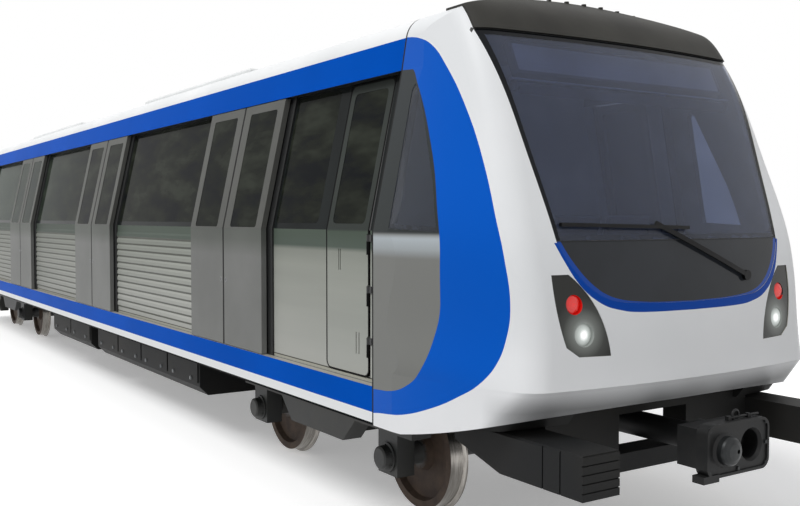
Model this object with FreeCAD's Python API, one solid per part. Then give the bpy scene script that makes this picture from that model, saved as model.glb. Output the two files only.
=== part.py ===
import FreeCAD, Part
import math
import os

# End car of a metro train: driver's cab at the front, four pairs of sliding doors on each side.
# Millimetres. X runs across the car, Y from the cab to the rear end, Z up from the lowest
# points of the wheel flanges. The origin is under the middle of the overall length.
# "Right" is the driver's right hand, which is the -X side.

os.makedirs("parts", exist_ok=True)
V = FreeCAD.Vector

# Length of the car
body_length = 18650.0
cab_length = 1386.0
coupler_reach = 380.0
rear_reach = 350.0

# Wheels and ride height
flange_height = 28.0
wheel_radius = 430.0
wheel_clearance = 44.0

# Body section, from the sole bar up to the roof
half_width = 1550.0
floor_thickness = 147.0
sole_depth = 257.0
sole_thickness = 60.0
waist_rise = 1028.0
window_rise = 1065.0
side_lean = 230.0
cantrail_rise = 220.0
cantrail_lean = 37.0
cantrail_width = 140.0
roof_rise = 290.0
shoulder_radius = 180.0
roof_thickness = 60.0
wall_setback = 75.0
wall_thickness = 60.0

# Doors
door_pitch = 4224.0
first_door_setback = 2511.0
door_leaf_width = 782.0
door_leaf_thickness = 45.0
door_leaf_setback = 5.0
door_meeting_gap = 6.0
door_overlap = 125.0
door_clearance = 6.0
doors_per_side = 4

# Bogies
bogie_spacing = 12600.0
wheelbase = 2200.0
wheel_back_half_gap = 680.0
wheel_width = 135.0

# Clearances between pieces
seat_gap = 0.3
along_share = 0.9
pin_gap = 0.5
overrun = 400.0

# Levels worked out from the sizes above
axle_z = flange_height + wheel_radius
underside_z = axle_z + wheel_radius + flange_height + wheel_clearance
floor_z = underside_z + floor_thickness
skirt_z = floor_z - sole_depth
waist_z = floor_z + waist_rise
head_z = waist_z + window_rise
gutter_z = head_z + cantrail_rise
roof_z = gutter_z + roof_rise

# Stations along the car
nose_y = coupler_reach - (coupler_reach + body_length + rear_reach) / 2
joint_y = nose_y + cab_length
tail_y = nose_y + body_length
middle_y = (nose_y + tail_y) / 2
door_centres = [joint_y + first_door_setback + place * door_pitch for place in range(doors_per_side)]
bogie_centres = [middle_y - bogie_spacing / 2, middle_y + bogie_spacing / 2]


def save(name, *solids):
    """Write one node's solids to its STEP file."""
    shape = solids[0] if len(solids) == 1 else Part.makeCompound(list(solids))
    shape.exportStep("parts/" + name + ".step")


def outline(*segments):
    """Closed wire from lines (two points) and arcs (three points)."""
    edges = []
    for points in segments:
        if len(points) == 3:
            edges.append(Part.Arc(*points).toShape())
        else:
            edges.append(Part.LineSegment(*points).toShape())
    return Part.Wire(edges)


def polygon(points):
    return Part.makePolygon(points + [points[0]])


def pull(wire, direction):
    return Part.Face(wire).extrude(direction)


def prism_y(section, y_start, y_end):
    """Solid with a polygon of (x, z) points as its cross-section, between two stations."""
    wire = polygon([V(x, y_start, z) for x, z in section])
    return pull(wire, V(0, y_end - y_start, 0))


def prism_x(section, x_start, x_end):
    """Solid with a polygon of (y, z) points as its side view."""
    wire = polygon([V(x_start, y, z) for y, z in section])
    return pull(wire, V(x_end - x_start, 0, 0))


def block(x_start, x_end, y_start, y_end, z_start, z_end):
    return Part.makeBox(x_end - x_start, y_end - y_start, z_end - z_start, V(x_start, y_start, z_start))


def rounded_block(x_start, x_end, y_start, y_end, z_start, z_end, radius):
    """Block whose side view in Y and Z has rounded corners."""
    shape = block(x_start, x_end, y_start, y_end, z_start, z_end)
    corners = [edge for edge in shape.Edges if abs(edge.tangentAt(edge.FirstParameter).x) > abs(
        edge.tangentAt(edge.FirstParameter).y + edge.tangentAt(edge.FirstParameter).z)]
    return shape.makeFillet(radius, corners)


def cylinder_x(radius, x_start, x_end, y, z):
    return Part.makeCylinder(radius, x_end - x_start, V(x_start, y, z), V(1, 0, 0))


def cylinder_y(radius, x, y_start, y_end, z):
    return Part.makeCylinder(radius, y_end - y_start, V(x, y_start, z), V(0, 1, 0))


def cylinder_z(radius, x, y, z_start, z_end):
    return Part.makeCylinder(radius, z_end - z_start, V(x, y, z_start), V(0, 0, 1))


def fused(shapes):
    """One solid from shapes that touch or overlap."""
    whole = shapes[0].multiFuse(shapes[1:]).removeSplitter()
    return whole.Solids[0] if len(whole.Solids) == 1 else whole


def mirrored(shape):
    return shape.mirror(V(0, 0, 0), V(1, 0, 0))


def side_x(z):
    """Half-width of the body's outer face at a height: upright to the waist, then leaning in."""
    if z <= waist_z:
        return half_width
    if z <= head_z:
        return half_width - side_lean * (z - waist_z) / window_rise
    return half_width - side_lean - cantrail_lean * (z - head_z) / cantrail_rise


def side_band(depth_out, depth_in, z_low, z_high):
    """Section of a plate that follows the body side, between two depths below its outer face."""
    levels = [z_low] + [level for level in (waist_z, head_z) if z_low < level < z_high] + [z_high]
    outer = [(side_x(z) - depth_out, z) for z in levels]
    inner = [(side_x(z) - depth_in, z) for z in reversed(levels)]
    return outer + inner


def roof_arcs(inset):
    """Centre, radii and tangent point of the roof's shoulder and crown, for an outline moved inwards."""
    slope = math.atan2(cantrail_lean, cantrail_rise)
    edge_x = side_x(gutter_z)
    centre_x = edge_x - shoulder_radius * math.cos(slope)
    centre_z = gutter_z - shoulder_radius * math.sin(slope)
    drop = centre_z - roof_z
    crown = (shoulder_radius ** 2 - centre_x ** 2 - drop ** 2) / (2 * (drop + shoulder_radius))
    crown_z = roof_z - crown
    reach = math.hypot(centre_x, centre_z - crown_z)
    touch_x = centre_x / reach * (crown - inset)
    touch_z = crown_z + (centre_z - crown_z) / reach * (crown - inset)
    middle = (slope + math.atan2(centre_z - crown_z, centre_x)) / 2
    small = shoulder_radius - inset
    start = (centre_x + small * math.cos(slope), centre_z + small * math.sin(slope))
    via = (centre_x + small * math.cos(middle), centre_z + small * math.sin(middle))
    return start, via, (touch_x, touch_z), (0, roof_z - inset)


def body_section(inset, z_low, y):
    """Closed wire of the whole body's section at a station, moved inwards by the inset."""
    start, via, touch, top = roof_arcs(inset)

    def at(x, z):
        return V(x, y, z)
    waist_x = half_width - inset
    head_x = half_width - side_lean - inset
    return outline(
        (at(-waist_x, z_low), at(waist_x, z_low)),
        (at(waist_x, z_low), at(waist_x, waist_z)),
        (at(waist_x, waist_z), at(head_x, head_z)),
        (at(head_x, head_z), at(*start)),
        (at(*start), at(*via), at(*touch)),
        (at(*touch), at(*top), at(-touch[0], touch[1])),
        (at(-touch[0], touch[1]), at(-via[0], via[1]), at(-start[0], start[1])),
        (at(-start[0], start[1]), at(-head_x, head_z)),
        (at(-head_x, head_z), at(-waist_x, waist_z)),
        (at(-waist_x, waist_z), at(-waist_x, z_low)))


def body_prism(inset, z_low, y_start, y_end):
    return pull(body_section(inset, z_low, y_start), V(0, y_end - y_start, 0))


# Cab nose: horizontal sections, each a wide front arc, two corner arcs and two cheek arcs.
# Heights are shares of the way from skirt to roof, setbacks shares of the cab's length,
# and corners shares of the body's half-width at that height. The lowest section is the sharp
# crease over the chin, which slopes back from there.
nose_height_shares = [0.1311, 0.2095, 0.3143, 0.4367, 0.6119, 0.7871, 0.8986, 0.9476, 0.9752, 0.9986, 1.0245]
nose_setback_shares = [0.000, 0.014, 0.036, 0.090, 0.216, 0.354, 0.476, 0.552, 0.636, 0.735, 0.810]
nose_corner_shares = [0.822, 0.808, 0.812, 0.828, 0.869, 0.917, 0.943, 0.950, 0.958, 0.962, 0.962]
chin_height_share = -0.0294
chin_setback_share = 0.278
chin_corner_share = 0.924
nose_front_radius = 8000.0
nose_corner_radius = 220.0
nose_overlap = 10.0


def nose_wire(level_share, setback_share, corner_share, inset):
    """One horizontal section of the nose. The inset moves every arc inwards about its own centre."""
    z = skirt_z + level_share * (roof_z - skirt_z)
    width = side_x(z) + nose_overlap
    corner_x = side_x(z) * corner_share
    front_y = nose_y + setback_share * cab_length
    front_centre = V(0, front_y + nose_front_radius, z)
    step_x = width - corner_x
    step_y = joint_y - front_y - corner_x ** 2 / (2 * nose_front_radius)
    cheek_radius = (step_y ** 2 + step_x ** 2) / (2 * step_x)
    cheek_centre = V(width - cheek_radius, joint_y, z)
    near = nose_front_radius - nose_corner_radius
    far = cheek_radius - nose_corner_radius
    span = cheek_centre - front_centre
    distance = span.Length
    along = (near ** 2 - far ** 2 + distance ** 2) / (2 * distance)
    aside = math.sqrt(near ** 2 - along ** 2)
    direction = V(span).normalize()
    normal = V(-direction.y, direction.x, 0)
    foot = front_centre + direction * along
    corner_centre = max(foot + normal * aside, foot - normal * aside, key=lambda point: point.x)
    to_front = (corner_centre - front_centre).normalize()
    to_cheek = (corner_centre - cheek_centre).normalize()
    front_r = nose_front_radius - inset
    corner_r = nose_corner_radius - inset
    cheek_r = cheek_radius - inset
    touch_front = front_centre + to_front * front_r
    touch_cheek = cheek_centre + to_cheek * cheek_r
    corner_mid = corner_centre + (to_front + to_cheek).normalize() * corner_r
    rear = V(width - inset, joint_y, z)
    cheek_mid = cheek_centre + (to_cheek + V(1, 0, 0)).normalize() * cheek_r
    tip = V(0, front_centre.y - front_r, z)

    def flip(point):
        return V(-point.x, point.y, point.z)
    return outline(
        (rear, cheek_mid, touch_cheek),
        (touch_cheek, corner_mid, touch_front),
        (touch_front, tip, flip(touch_front)),
        (flip(touch_front), flip(corner_mid), flip(touch_cheek)),
        (flip(touch_cheek), flip(cheek_mid), flip(rear)),
        (flip(rear), rear))


def nose_loft(inset):
    wires = [nose_wire(level, setback, corner, inset) for level, setback, corner
             in zip(nose_height_shares, nose_setback_shares, nose_corner_shares)]
    chin = nose_wire(chin_height_share, chin_setback_share, chin_corner_share, inset)
    return Part.makeLoft(wires, True, False).fuse(Part.makeLoft([chin, wires[0]], True, True))


def nose_form(inset):
    """Solid form of the cab nose, moved inwards by the inset."""
    return nose_loft(inset).common(body_prism(inset, skirt_z - overrun, nose_y - overrun, joint_y))


# Cab shell and what is set into it
shell_thickness = 60.0
shell_lift = 222.0
shell_rise_length = 1060.0
shell_lip_length = 140.0
shell_curve_shares = (0.37, 0.55)
glass_thickness = 12.0
glass_setback = 3.0
glass_edge_gap = 0.3
glass_rebate = 30.0
mask_thickness = 22.0
visor_proud = 14.0
visor_sunk = 26.0
visor_length = 1070.0
visor_taper_share = 0.98
visor_cap_radius = 17.0
visor_cap_height = 9.0
visor_cap_pitch = 165.0
visor_caps_each_side = 6
lamp_depth = 58.0
lamp_setback = 5.0

# Front view of the openings: half-widths as shares of the body's half-width,
# heights as shares of the way from skirt to roof
screen_top_share = (0.766, 0.8870)
screen_foot_share = (0.664, 0.4322)
mask_side_share = (0.6516, 0.4136)
mask_cheek_share = (0.5884, 0.3615)
mask_bend_share = (0.4897, 0.3182)
mask_turn_share = (0.3903, 0.3028)
mask_low_share = 0.2962
screen_mask_gap = 4.0
lamp_outline_shares = [(0.632, 0.3637), (0.710, 0.3637), (0.703, 0.2966), (0.668, 0.2173), (0.612, 0.1968),
                       (0.460, 0.1948), (0.497, 0.2712)]


def front_point(share, y):
    """Point of the front view, from its shares of half-width and height."""
    return V(share[0] * half_width, y, skirt_z + share[1] * (roof_z - skirt_z))


def left_of(point):
    return V(-point.x, point.y, point.z)


def front_cutter(wire):
    return pull(wire, V(0, cab_length + overrun, 0))


def screen_wire(margin):
    """Windscreen seen from the front, drawn in by a margin."""
    y = nose_y - overrun / 2
    top = front_point(screen_top_share, y) - V(margin, 0, margin)
    foot = front_point(screen_foot_share, y) - V(margin, 0, -margin)
    return outline((top, foot), (foot, left_of(foot)), (left_of(foot), left_of(top)), (left_of(top), top))


def mask_wire(margin):
    """Dark panel under the windscreen, with a bowl-shaped lower edge."""
    y = nose_y - overrun / 2
    lid = V(0, 0, screen_mask_gap)
    inwards = V(-margin, 0, margin)
    top = front_point(screen_foot_share, y) - lid - V(margin, 0, margin)
    side = front_point(mask_side_share, y) + inwards
    cheek = front_point(mask_cheek_share, y) + inwards
    bend = front_point(mask_bend_share, y) + inwards
    turn = front_point(mask_turn_share, y) + inwards
    low = front_point((0, mask_low_share), y) + V(0, 0, margin)
    return outline((top, side, cheek), (cheek, bend, turn), (turn, low, left_of(turn)),
                   (left_of(turn), left_of(bend), left_of(cheek)),
                   (left_of(cheek), left_of(side), left_of(top)), (left_of(top), top))


def lamp_wire(margin):
    """Headlamp housing on the left corner, seen from the front."""
    y = nose_y - overrun / 2
    points = [front_point(share, y) for share in lamp_outline_shares]
    centre = V(0, 0, 0)
    for point in points:
        centre = centre + point
    centre = centre / len(points)
    drawn = [point - (point - centre).normalize() * margin for point in points]
    inner_top, outer_top, outer_side, outer_low, turn, foot, inner_side = drawn
    return outline((inner_top, outer_top), (outer_top, outer_side, outer_low), (outer_low, turn),
                   (turn, foot), (foot, inner_side, inner_top))


# Cab side window, seen from the side: shares of the cab's length and of the window band's height
side_glass_shares = [(0.860, 0.015), (0.545, 0.000), (0.610, 0.280), (0.815, 0.860), (0.850, 0.895),
                     (0.872, 0.860)]


def side_glass_wire(margin):
    points = [V(-half_width - overrun, nose_y + run * cab_length, waist_z + rise * window_rise)
              for run, rise in side_glass_shares]
    centre = V(0, 0, 0)
    for point in points:
        centre = centre + point
    centre = centre / len(points)
    return polygon([point - (point - centre).normalize() * margin for point in points])


def side_cutter(margin):
    return pull(side_glass_wire(margin), V(2 * (half_width + overrun), 0, 0))


def shell_underside():
    """Everything below the shell's lower edge, which sweeps up from the side to the front lip."""
    foot_y = nose_y + shell_rise_length
    lip_y = nose_y + shell_lip_length
    lip_z = skirt_z + shell_lift
    middle = V(-half_width - overrun, lip_y + shell_curve_shares[0] * (foot_y - lip_y),
               skirt_z + shell_curve_shares[1] * shell_lift)
    foot = V(-half_width - overrun, foot_y, skirt_z)
    lip = V(-half_width - overrun, lip_y, lip_z)
    front = V(-half_width - overrun, nose_y - overrun, lip_z)
    low_front = V(-half_width - overrun, nose_y - overrun, skirt_z - 2 * overrun)
    low_rear = V(-half_width - overrun, joint_y + overrun, skirt_z - 2 * overrun)
    rear = V(-half_width - overrun, joint_y + overrun, skirt_z)
    wire = outline((rear, foot), (foot, middle, lip), (lip, front), (front, low_front),
                   (low_front, low_rear), (low_rear, rear))
    return pull(wire, V(2 * (half_width + overrun), 0, 0))


outer_form = nose_form(0)
glass_outer_form = nose_form(glass_setback)
glass_inner_form = nose_form(glass_setback + glass_thickness)
mask_inner_form = nose_form(mask_thickness)
visor_outer_form = nose_form(-visor_proud)
visor_inner_form = nose_form(visor_sunk)
inner_form = nose_form(shell_thickness)
lining_form = nose_form(shell_thickness + seat_gap)


def visor_zone(margin):
    """Room above the windscreen that the roof visor takes, back to its rear edge."""
    low = front_point(screen_top_share, nose_y).z + glass_rebate / 3 - margin
    side = front_point(screen_top_share, nose_y).x + margin
    top = side * visor_taper_share
    section = [(side, low), (top, roof_z + overrun), (-top, roof_z + overrun), (-side, low)]
    return prism_y(section, nose_y - overrun, nose_y + visor_length + margin)


def layer(outer, inner, zone):
    """The part of the nose between two forms that lies in a zone."""
    return outer.common(zone).cut(inner)


def cab_shell():
    lamp_hole = front_cutter(lamp_wire(0))
    rebates = [
        layer(visor_outer_form, glass_inner_form, front_cutter(screen_wire(0))),
        layer(visor_outer_form, mask_inner_form, front_cutter(mask_wire(0))),
        layer(visor_outer_form, glass_inner_form, side_cutter(0)),
        layer(visor_outer_form, visor_inner_form, visor_zone(seat_gap))]
    openings = [front_cutter(screen_wire(glass_rebate)), lamp_hole, mirrored(lamp_hole),
                side_cutter(glass_rebate), shell_underside()]
    shell = outer_form.cut(inner_form)
    return shell.cut(rebates + openings)


def windscreen():
    return layer(glass_outer_form, glass_inner_form, front_cutter(screen_wire(glass_edge_gap)))


def front_mask():
    return layer(glass_outer_form, mask_inner_form, front_cutter(mask_wire(glass_edge_gap)))


def cab_side_windows():
    return layer(glass_outer_form, glass_inner_form, side_cutter(glass_edge_gap)).Solids


def visor_caps():
    """Round caps over the bolts along the visor's rear edge."""
    caps = []
    y = nose_y + visor_length - 2 * visor_cap_radius
    for place in range(-visor_caps_each_side, visor_caps_each_side + 1):
        x = place * visor_cap_pitch
        ray = Part.LineSegment(V(x, y, head_z), V(x, y, roof_z + overrun)).toShape()
        top_z = max(vertex.Point.z for vertex in ray.common(visor_outer_form).Vertexes)
        caps.append(cylinder_z(visor_cap_radius, x, y, top_z - visor_proud, top_z + visor_cap_height))
    return caps


def roof_visor():
    return fused([layer(visor_outer_form, visor_inner_form, visor_zone(0))] + visor_caps())


# Headlamps: a deep housing with a tail lamp over a headlamp, each a domed lens in a round well
tail_lamp_share = (0.619, 0.3025)
tail_lamp_radius = 58.0
head_lamp_share = (0.582, 0.2406)
head_lamp_radius = 70.0
lens_gap = 0.3
lens_height = 26.0
lens_dome = 20.0
well_depth = 34.0
dome_shares = [(1.0, 0.0), (0.96, 0.42), (0.82, 0.74), (0.55, 0.94), (0.0, 1.0)]


def domed(radius, length, dome_length, foot, direction):
    """Round bar from a foot along a direction, whose far end is a dome of the last part of its length."""
    side = V(0, 0, 1) if direction.z == 0 else V(1, 0, 0)
    points = [foot, foot + side * radius]
    for reach, rise in dome_shares:
        along = length - dome_length + rise * dome_length
        points.append(foot + side * (reach * radius) + direction * along)
    return Part.Face(polygon(points)).revolve(foot, direction, 360)


def lamp_face_y(share):
    """Station of the nose surface at a place of the front view."""
    point = front_point(share, nose_y - overrun)
    ray = Part.LineSegment(point, point + V(0, cab_length, 0)).toShape()
    inside = ray.common(outer_form)
    return min(vertex.Point.y for vertex in inside.Vertexes)


def lens(share, radius, face_y):
    point = front_point(share, 0)
    foot = V(point.x, face_y + well_depth, point.z)
    return domed(radius - lens_gap, lens_height, lens_dome, foot, V(0, -1, 0))


def headlamps():
    housing = layer(nose_form(lamp_setback), nose_form(lamp_setback + lamp_depth),
                    front_cutter(lamp_wire(glass_edge_gap)))
    pieces = []
    for share, radius in ((tail_lamp_share, tail_lamp_radius), (head_lamp_share, head_lamp_radius)):
        face_y = lamp_face_y(share)
        point = front_point(share, 0)
        well = Part.makeCylinder(radius, overrun, V(point.x, face_y + well_depth, point.z), V(0, -1, 0))
        housing = housing.cut(well)
        pieces.append(lens(share, radius, face_y))
    whole = housing.Solids + pieces
    return whole + [mirrored(piece) for piece in whole]


# Wiper: blade along the foot of the windscreen, arm up from a spindle in the dark panel
wiper_spindle_share = (0.361, 0.3466)
wiper_elbow_share = (-0.161, 0.4675)
blade_start_share = (0.030, 0.4577)
blade_end_share = (-0.6385, 0.4655)
wiper_lift = 26.0
wiper_spindle_radius = 34.0
wiper_arm_width = 30.0
wiper_blade_width = 22.0
wiper_span_count = 5


def nose_surface(share, lift):
    """Point on the nose at a place of the front view, lifted forwards off its surface."""
    point = front_point(share, nose_y - overrun)
    ray = Part.LineSegment(point, point + V(0, cab_length, 0)).toShape()
    hits = ray.common(outer_form).Vertexes
    return V(point.x, min(vertex.Point.y for vertex in hits) - lift, point.z)


def bar_between(start, end, width, depth):
    """Flat bar along a line, with its width up and down and its depth fore and aft."""
    run = end - start
    up = V(-run.z, 0, run.x).normalize() * (width / 2)
    corners = [start + up, end + up, end - up, start - up]
    return pull(polygon(corners), V(0, depth, 0))


def following_bar(start_share, end_share, width, depth):
    """Flat bar in short straight spans that follows the nose between two places of the front view."""
    points = []
    for stop in range(wiper_span_count + 1):
        part = stop / wiper_span_count
        share = [start + part * (end - start) for start, end in zip(start_share, end_share)]
        points.append(nose_surface(share, wiper_lift))
    return [bar_between(near, far, width, depth) for near, far in zip(points, points[1:])]


def wiper():
    arm = following_bar(wiper_spindle_share, wiper_elbow_share, wiper_arm_width, wiper_lift / 2)
    blade = following_bar(blade_start_share, blade_end_share, wiper_blade_width, wiper_lift - glass_setback)
    spindle = nose_surface(wiper_spindle_share, wiper_lift)
    boss = Part.makeCylinder(wiper_spindle_radius, wiper_lift + glass_setback, spindle, V(0, 1, 0))
    return fused([boss] + arm + blade).cut(nose_form(glass_setback - seat_gap))


# Underframe: floor slab with a headstock under the cab, sole bars down its sides and pivot pins
pivot_radius = 70.0
pivot_depth = 330.0
coupler_notch_half = 800.0
coupler_notch_depth = 350.0


def underframe():
    sole_in = half_width - sole_thickness
    slab = block(-sole_in, sole_in, joint_y, tail_y, underside_z, floor_z)
    cab_floor = lining_form.common(block(-half_width, half_width, nose_y, joint_y, underside_z, floor_z))
    notch = block(-coupler_notch_half, coupler_notch_half, nose_y - overrun, nose_y + coupler_notch_depth,
                  underside_z - overrun, floor_z - sole_thickness)
    return fused([slab, cab_floor.cut(notch)])


def sole_bar():
    """Left-hand sole bar, which carries the floor slab's edge and hangs below it as a skirt."""
    return block(half_width - sole_thickness, half_width, joint_y, tail_y, skirt_z, floor_z)


def bogie_pivots():
    return [cylinder_z(pivot_radius, 0, y, underside_z - pivot_depth, underside_z) for y in bogie_centres]


# Side walls: one panel between each two doorways, set back behind the door leaves
opening_half = door_leaf_width + door_meeting_gap / 2 - door_overlap
rib_count = 12
rib_depth = 9.0
rib_low = 70.0
rib_high = 75.0
rib_land_share = 0.28
window_low = 45.0
window_high = 18.0
window_side_margin = 235.0
post_proud = 15.0
post_reach = 90.0
post_tuck = 30.0
window_corner = 40.0
cab_door_start = 165.0
cab_door_width = 590.0
cab_door_foot = 24.0
cab_door_head = 10.0
cab_door_gap = 6.0
cab_door_corner = 60.0
cab_window_start = 905.0
tail_wall_thickness = 60.0


def wall_bays():
    """Start and end of each wall panel, from the joint with the cab to the rear end."""
    edges = [joint_y]
    for centre in door_centres:
        edges += [centre - opening_half, centre + opening_half]
    edges.append(tail_y - tail_wall_thickness)
    return list(zip(edges[0::2], edges[1::2]))


def ribbed_section():
    """Section of a wall panel whose lower half is pressed into ribs that run along the car."""
    face_x = half_width - wall_setback
    foot = floor_z + rib_low
    pitch = (waist_rise - rib_low - rib_high) / rib_count
    outer = [(face_x, floor_z), (face_x, foot)]
    for rib in range(rib_count):
        base = foot + rib * pitch
        land = pitch * rib_land_share
        outer += [(face_x, base), (face_x + rib_depth, base + land),
                  (face_x + rib_depth, base + pitch - land), (face_x, base + pitch)]
    outer += [(face_x, waist_z), (side_x(head_z) - wall_setback, head_z)]
    inner_depth = wall_setback + wall_thickness
    inner = [(side_x(head_z) - inner_depth, head_z), (half_width - inner_depth, waist_z),
             (half_width - inner_depth, floor_z)]
    points = []
    for point in outer + inner:
        if not points or point != points[-1]:
            points.append(point)
    return points


def window_span(start, end):
    return start + window_side_margin, end - window_side_margin


def window_block(y_start, y_end, margin):
    z_low = waist_z + window_low + margin
    z_high = head_z - window_high - margin
    return rounded_block(half_width / 2, half_width, y_start + margin, y_end - margin, z_low, z_high,
                         window_corner)


def pane(y_start, y_end):
    """Flush window pane in the leaning part of the wall."""
    band = side_band(wall_setback, wall_setback + glass_thickness, waist_z + window_low / 2, head_z)
    return prism_y(band, y_start, y_end).common(window_block(y_start, y_end, glass_edge_gap))


def wall_windows():
    """Spans of the panes: one between each two doors, one by the cab door and one at the rear."""
    spans = []
    for place, (start, end) in enumerate(wall_bays()):
        if place == 0:
            first = joint_y + cab_window_start
            spans.append((first, end - window_side_margin))
        else:
            spans.append(window_span(start, end))
    return spans


def cab_door_block(margin):
    start = joint_y + cab_door_start
    z_low = floor_z + cab_door_foot - margin
    room = block(half_width / 2, half_width, start - margin, start + cab_door_width + margin, z_low,
                 head_z - cab_door_head + margin)
    corners = [edge for edge in room.Edges if edge.CenterOfMass.z < z_low + seat_gap
               and abs(edge.tangentAt(edge.FirstParameter).x) > along_share]
    return room.makeFillet(cab_door_corner + margin, corners)


def door_post(leaf_edge, away):
    """Upright cover strip on the wall beside a doorway, which the closed leaf's edge overlaps."""
    start, end = sorted((leaf_edge - away * post_tuck, leaf_edge + away * post_reach))
    band = side_band(wall_setback - post_proud, wall_setback + wall_thickness / 2, floor_z, head_z)
    return prism_y(band, start, end)


def side_wall():
    """Left side wall as separate panels."""
    plain = side_band(wall_setback, wall_setback + wall_thickness, floor_z, head_z)
    panels = []
    rebate = side_band(wall_setback - rib_depth, wall_setback + glass_thickness, waist_z + window_low / 2,
                       head_z)
    for place, (start, end) in enumerate(wall_bays()):
        section = plain if place in (0, doors_per_side) else ribbed_section()
        panel = prism_y(section, start, end)
        posts = []
        if place > 0:
            posts.append(door_post(start + door_overlap, 1))
        if place < doors_per_side:
            posts.append(door_post(end - door_overlap, -1))
        panel = fused([panel] + posts)
        y_start, y_end = wall_windows()[place]
        panel = panel.cut(prism_y(rebate, y_start, y_end).common(window_block(y_start, y_end, 0)))
        panel = panel.cut(window_block(y_start, y_end, glass_rebate))
        if place == 0:
            panel = panel.cut(cab_door_block(cab_door_gap))
            panel = panel.cut(cylinder_z(knuckle_radius + cab_door_gap, half_width - wall_setback,
                                         joint_y + cab_door_start, floor_z + cab_door_foot, waist_z))
            panel = fused([panel] + cab_door_hinges())
        panels.append(panel)
    return panels


def saloon_windows():
    return [pane(start, end) for start, end in wall_windows()]


# Cab door: follows the leaning wall, hinged at its front edge on knuckles, with a window
cab_door_window_margin = 70.0
cab_door_bevel_width = 26.0
knuckle_radius = 16.0
knuckle_height = 90.0
knuckle_height_shares = [0.16, 0.50, 0.84]
pocket_depth = 14.0
handle_pocket_width = 34.0
handle_pocket_share = 0.676
handle_height_shares = (0.723, 0.869)
handle_bar_width = 12.0
slot_width = 12.0
slot_places_share = (0.22, 0.285)
slot_height_shares = (0.168, 0.314)


def cab_door_bevel(end):
    """Wedge cut off the leaf's closing edge behind its face, so that the leaning part swings out clear."""
    levels = (floor_z, waist_z, head_z)
    wires = []
    depth = 2 * door_leaf_thickness
    back = cab_door_bevel_width * depth / door_leaf_thickness
    for z in levels:
        face_x = side_x(z) - wall_setback
        wires.append(polygon([V(face_x, end, z), V(face_x - depth, end - back, z),
                              V(face_x - depth, end + back, z), V(face_x, end + back, z)]))
    lower = Part.makeLoft(wires[:2], True, True)
    upper = Part.makeLoft(wires[1:], True, True)
    return fused([lower, upper])


def door_pocket(start, centre_share, width, height_shares):
    """Shallow pocket in the cab door's outer face."""
    centre = start + centre_share * cab_door_width
    low, high = [floor_z + share * waist_rise for share in height_shares]
    face_x = half_width - wall_setback
    return block(face_x - pocket_depth, face_x + pocket_depth, centre - width / 2, centre + width / 2,
                 low, high)


def door_handle(start):
    """Upright grip that lies in its pocket, level with the door's face."""
    centre = start + handle_pocket_share * cab_door_width
    low, high = [floor_z + share * waist_rise for share in handle_height_shares]
    face_x = half_width - wall_setback
    grip = block(face_x - handle_bar_width, face_x, centre - handle_bar_width / 2,
                 centre + handle_bar_width / 2, low, high)
    relief = block(face_x - pocket_depth, face_x - handle_bar_width / 2, centre - handle_pocket_width,
                   centre + handle_pocket_width, low + handle_pocket_width, high - handle_pocket_width)
    foot = block(face_x - pocket_depth, face_x - handle_bar_width / 2, centre - handle_bar_width / 2,
                 centre + handle_bar_width / 2, low, high)
    return fused([grip, foot]).cut(relief)


def cab_door():
    band = side_band(wall_setback, wall_setback + door_leaf_thickness, floor_z, head_z)
    start = joint_y + cab_door_start
    end = start + cab_door_width
    leaf = prism_y(band, start, end).common(cab_door_block(0))
    for share in knuckle_height_shares:
        foot = floor_z + share * waist_rise + knuckle_height
        leaf = leaf.cut(cylinder_z(knuckle_radius + cab_door_gap, half_width - wall_setback, start, foot,
                                   foot + knuckle_height / 2 + cab_door_gap))
    z_low = waist_z + window_low
    z_high = head_z - cab_door_head - cab_door_window_margin
    hole = rounded_block(half_width / 2, half_width, start + cab_door_window_margin,
                         end - cab_door_window_margin, z_low, z_high, window_corner)
    glass = rounded_block(half_width / 2, half_width, start + cab_door_window_margin + glass_edge_gap,
                          end - cab_door_window_margin - glass_edge_gap, z_low + glass_edge_gap,
                          z_high - glass_edge_gap, window_corner)
    glass_band = side_band(wall_setback + glass_setback, wall_setback + glass_setback + glass_thickness,
                           waist_z + window_low / 2, head_z)
    glass = prism_y(glass_band, start, end).common(glass)
    leaf = leaf.cut(cab_door_bevel(end))
    leaf = leaf.cut(door_pocket(start, handle_pocket_share, handle_pocket_width, handle_height_shares))
    for share in slot_places_share:
        leaf = leaf.cut(door_pocket(start, share, slot_width, slot_height_shares))
    leaf = leaf.fuse(door_handle(start))
    knuckles = [cylinder_z(knuckle_radius, half_width - wall_setback, start,
                           floor_z + share * waist_rise, floor_z + share * waist_rise + knuckle_height)
                for share in knuckle_height_shares]
    return fused([leaf.cut(hole)] + knuckles), glass


def cab_door_hinges():
    """Fixed half of each hinge: a knuckle above the door's own, on a leaf let into the wall."""
    start = joint_y + cab_door_start
    halves = []
    for share in knuckle_height_shares:
        foot = floor_z + share * waist_rise + knuckle_height + seat_gap
        knuckle = cylinder_z(knuckle_radius, half_width - wall_setback, start, foot,
                             foot + knuckle_height / 2)
        plate = block(half_width - wall_setback, half_width - wall_setback + knuckle_radius / 2,
                      start - 3 * knuckle_radius, start, foot, foot + knuckle_height / 2)
        halves.append(fused([knuckle, plate]))
    return halves


# Passenger door leaves: slide along the outside of the wall between sole bar and cantrail
leaf_window_outer = 115.0
leaf_window_meeting = 140.0
leaf_window_low = 8.0
leaf_window_high = 80.0
leaf_window_corner = 25.0
edge_rubber_width = 12.0
edge_rubber_sunk = 3.0
hanger_length = 70.0
hanger_margin = 90.0


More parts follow.
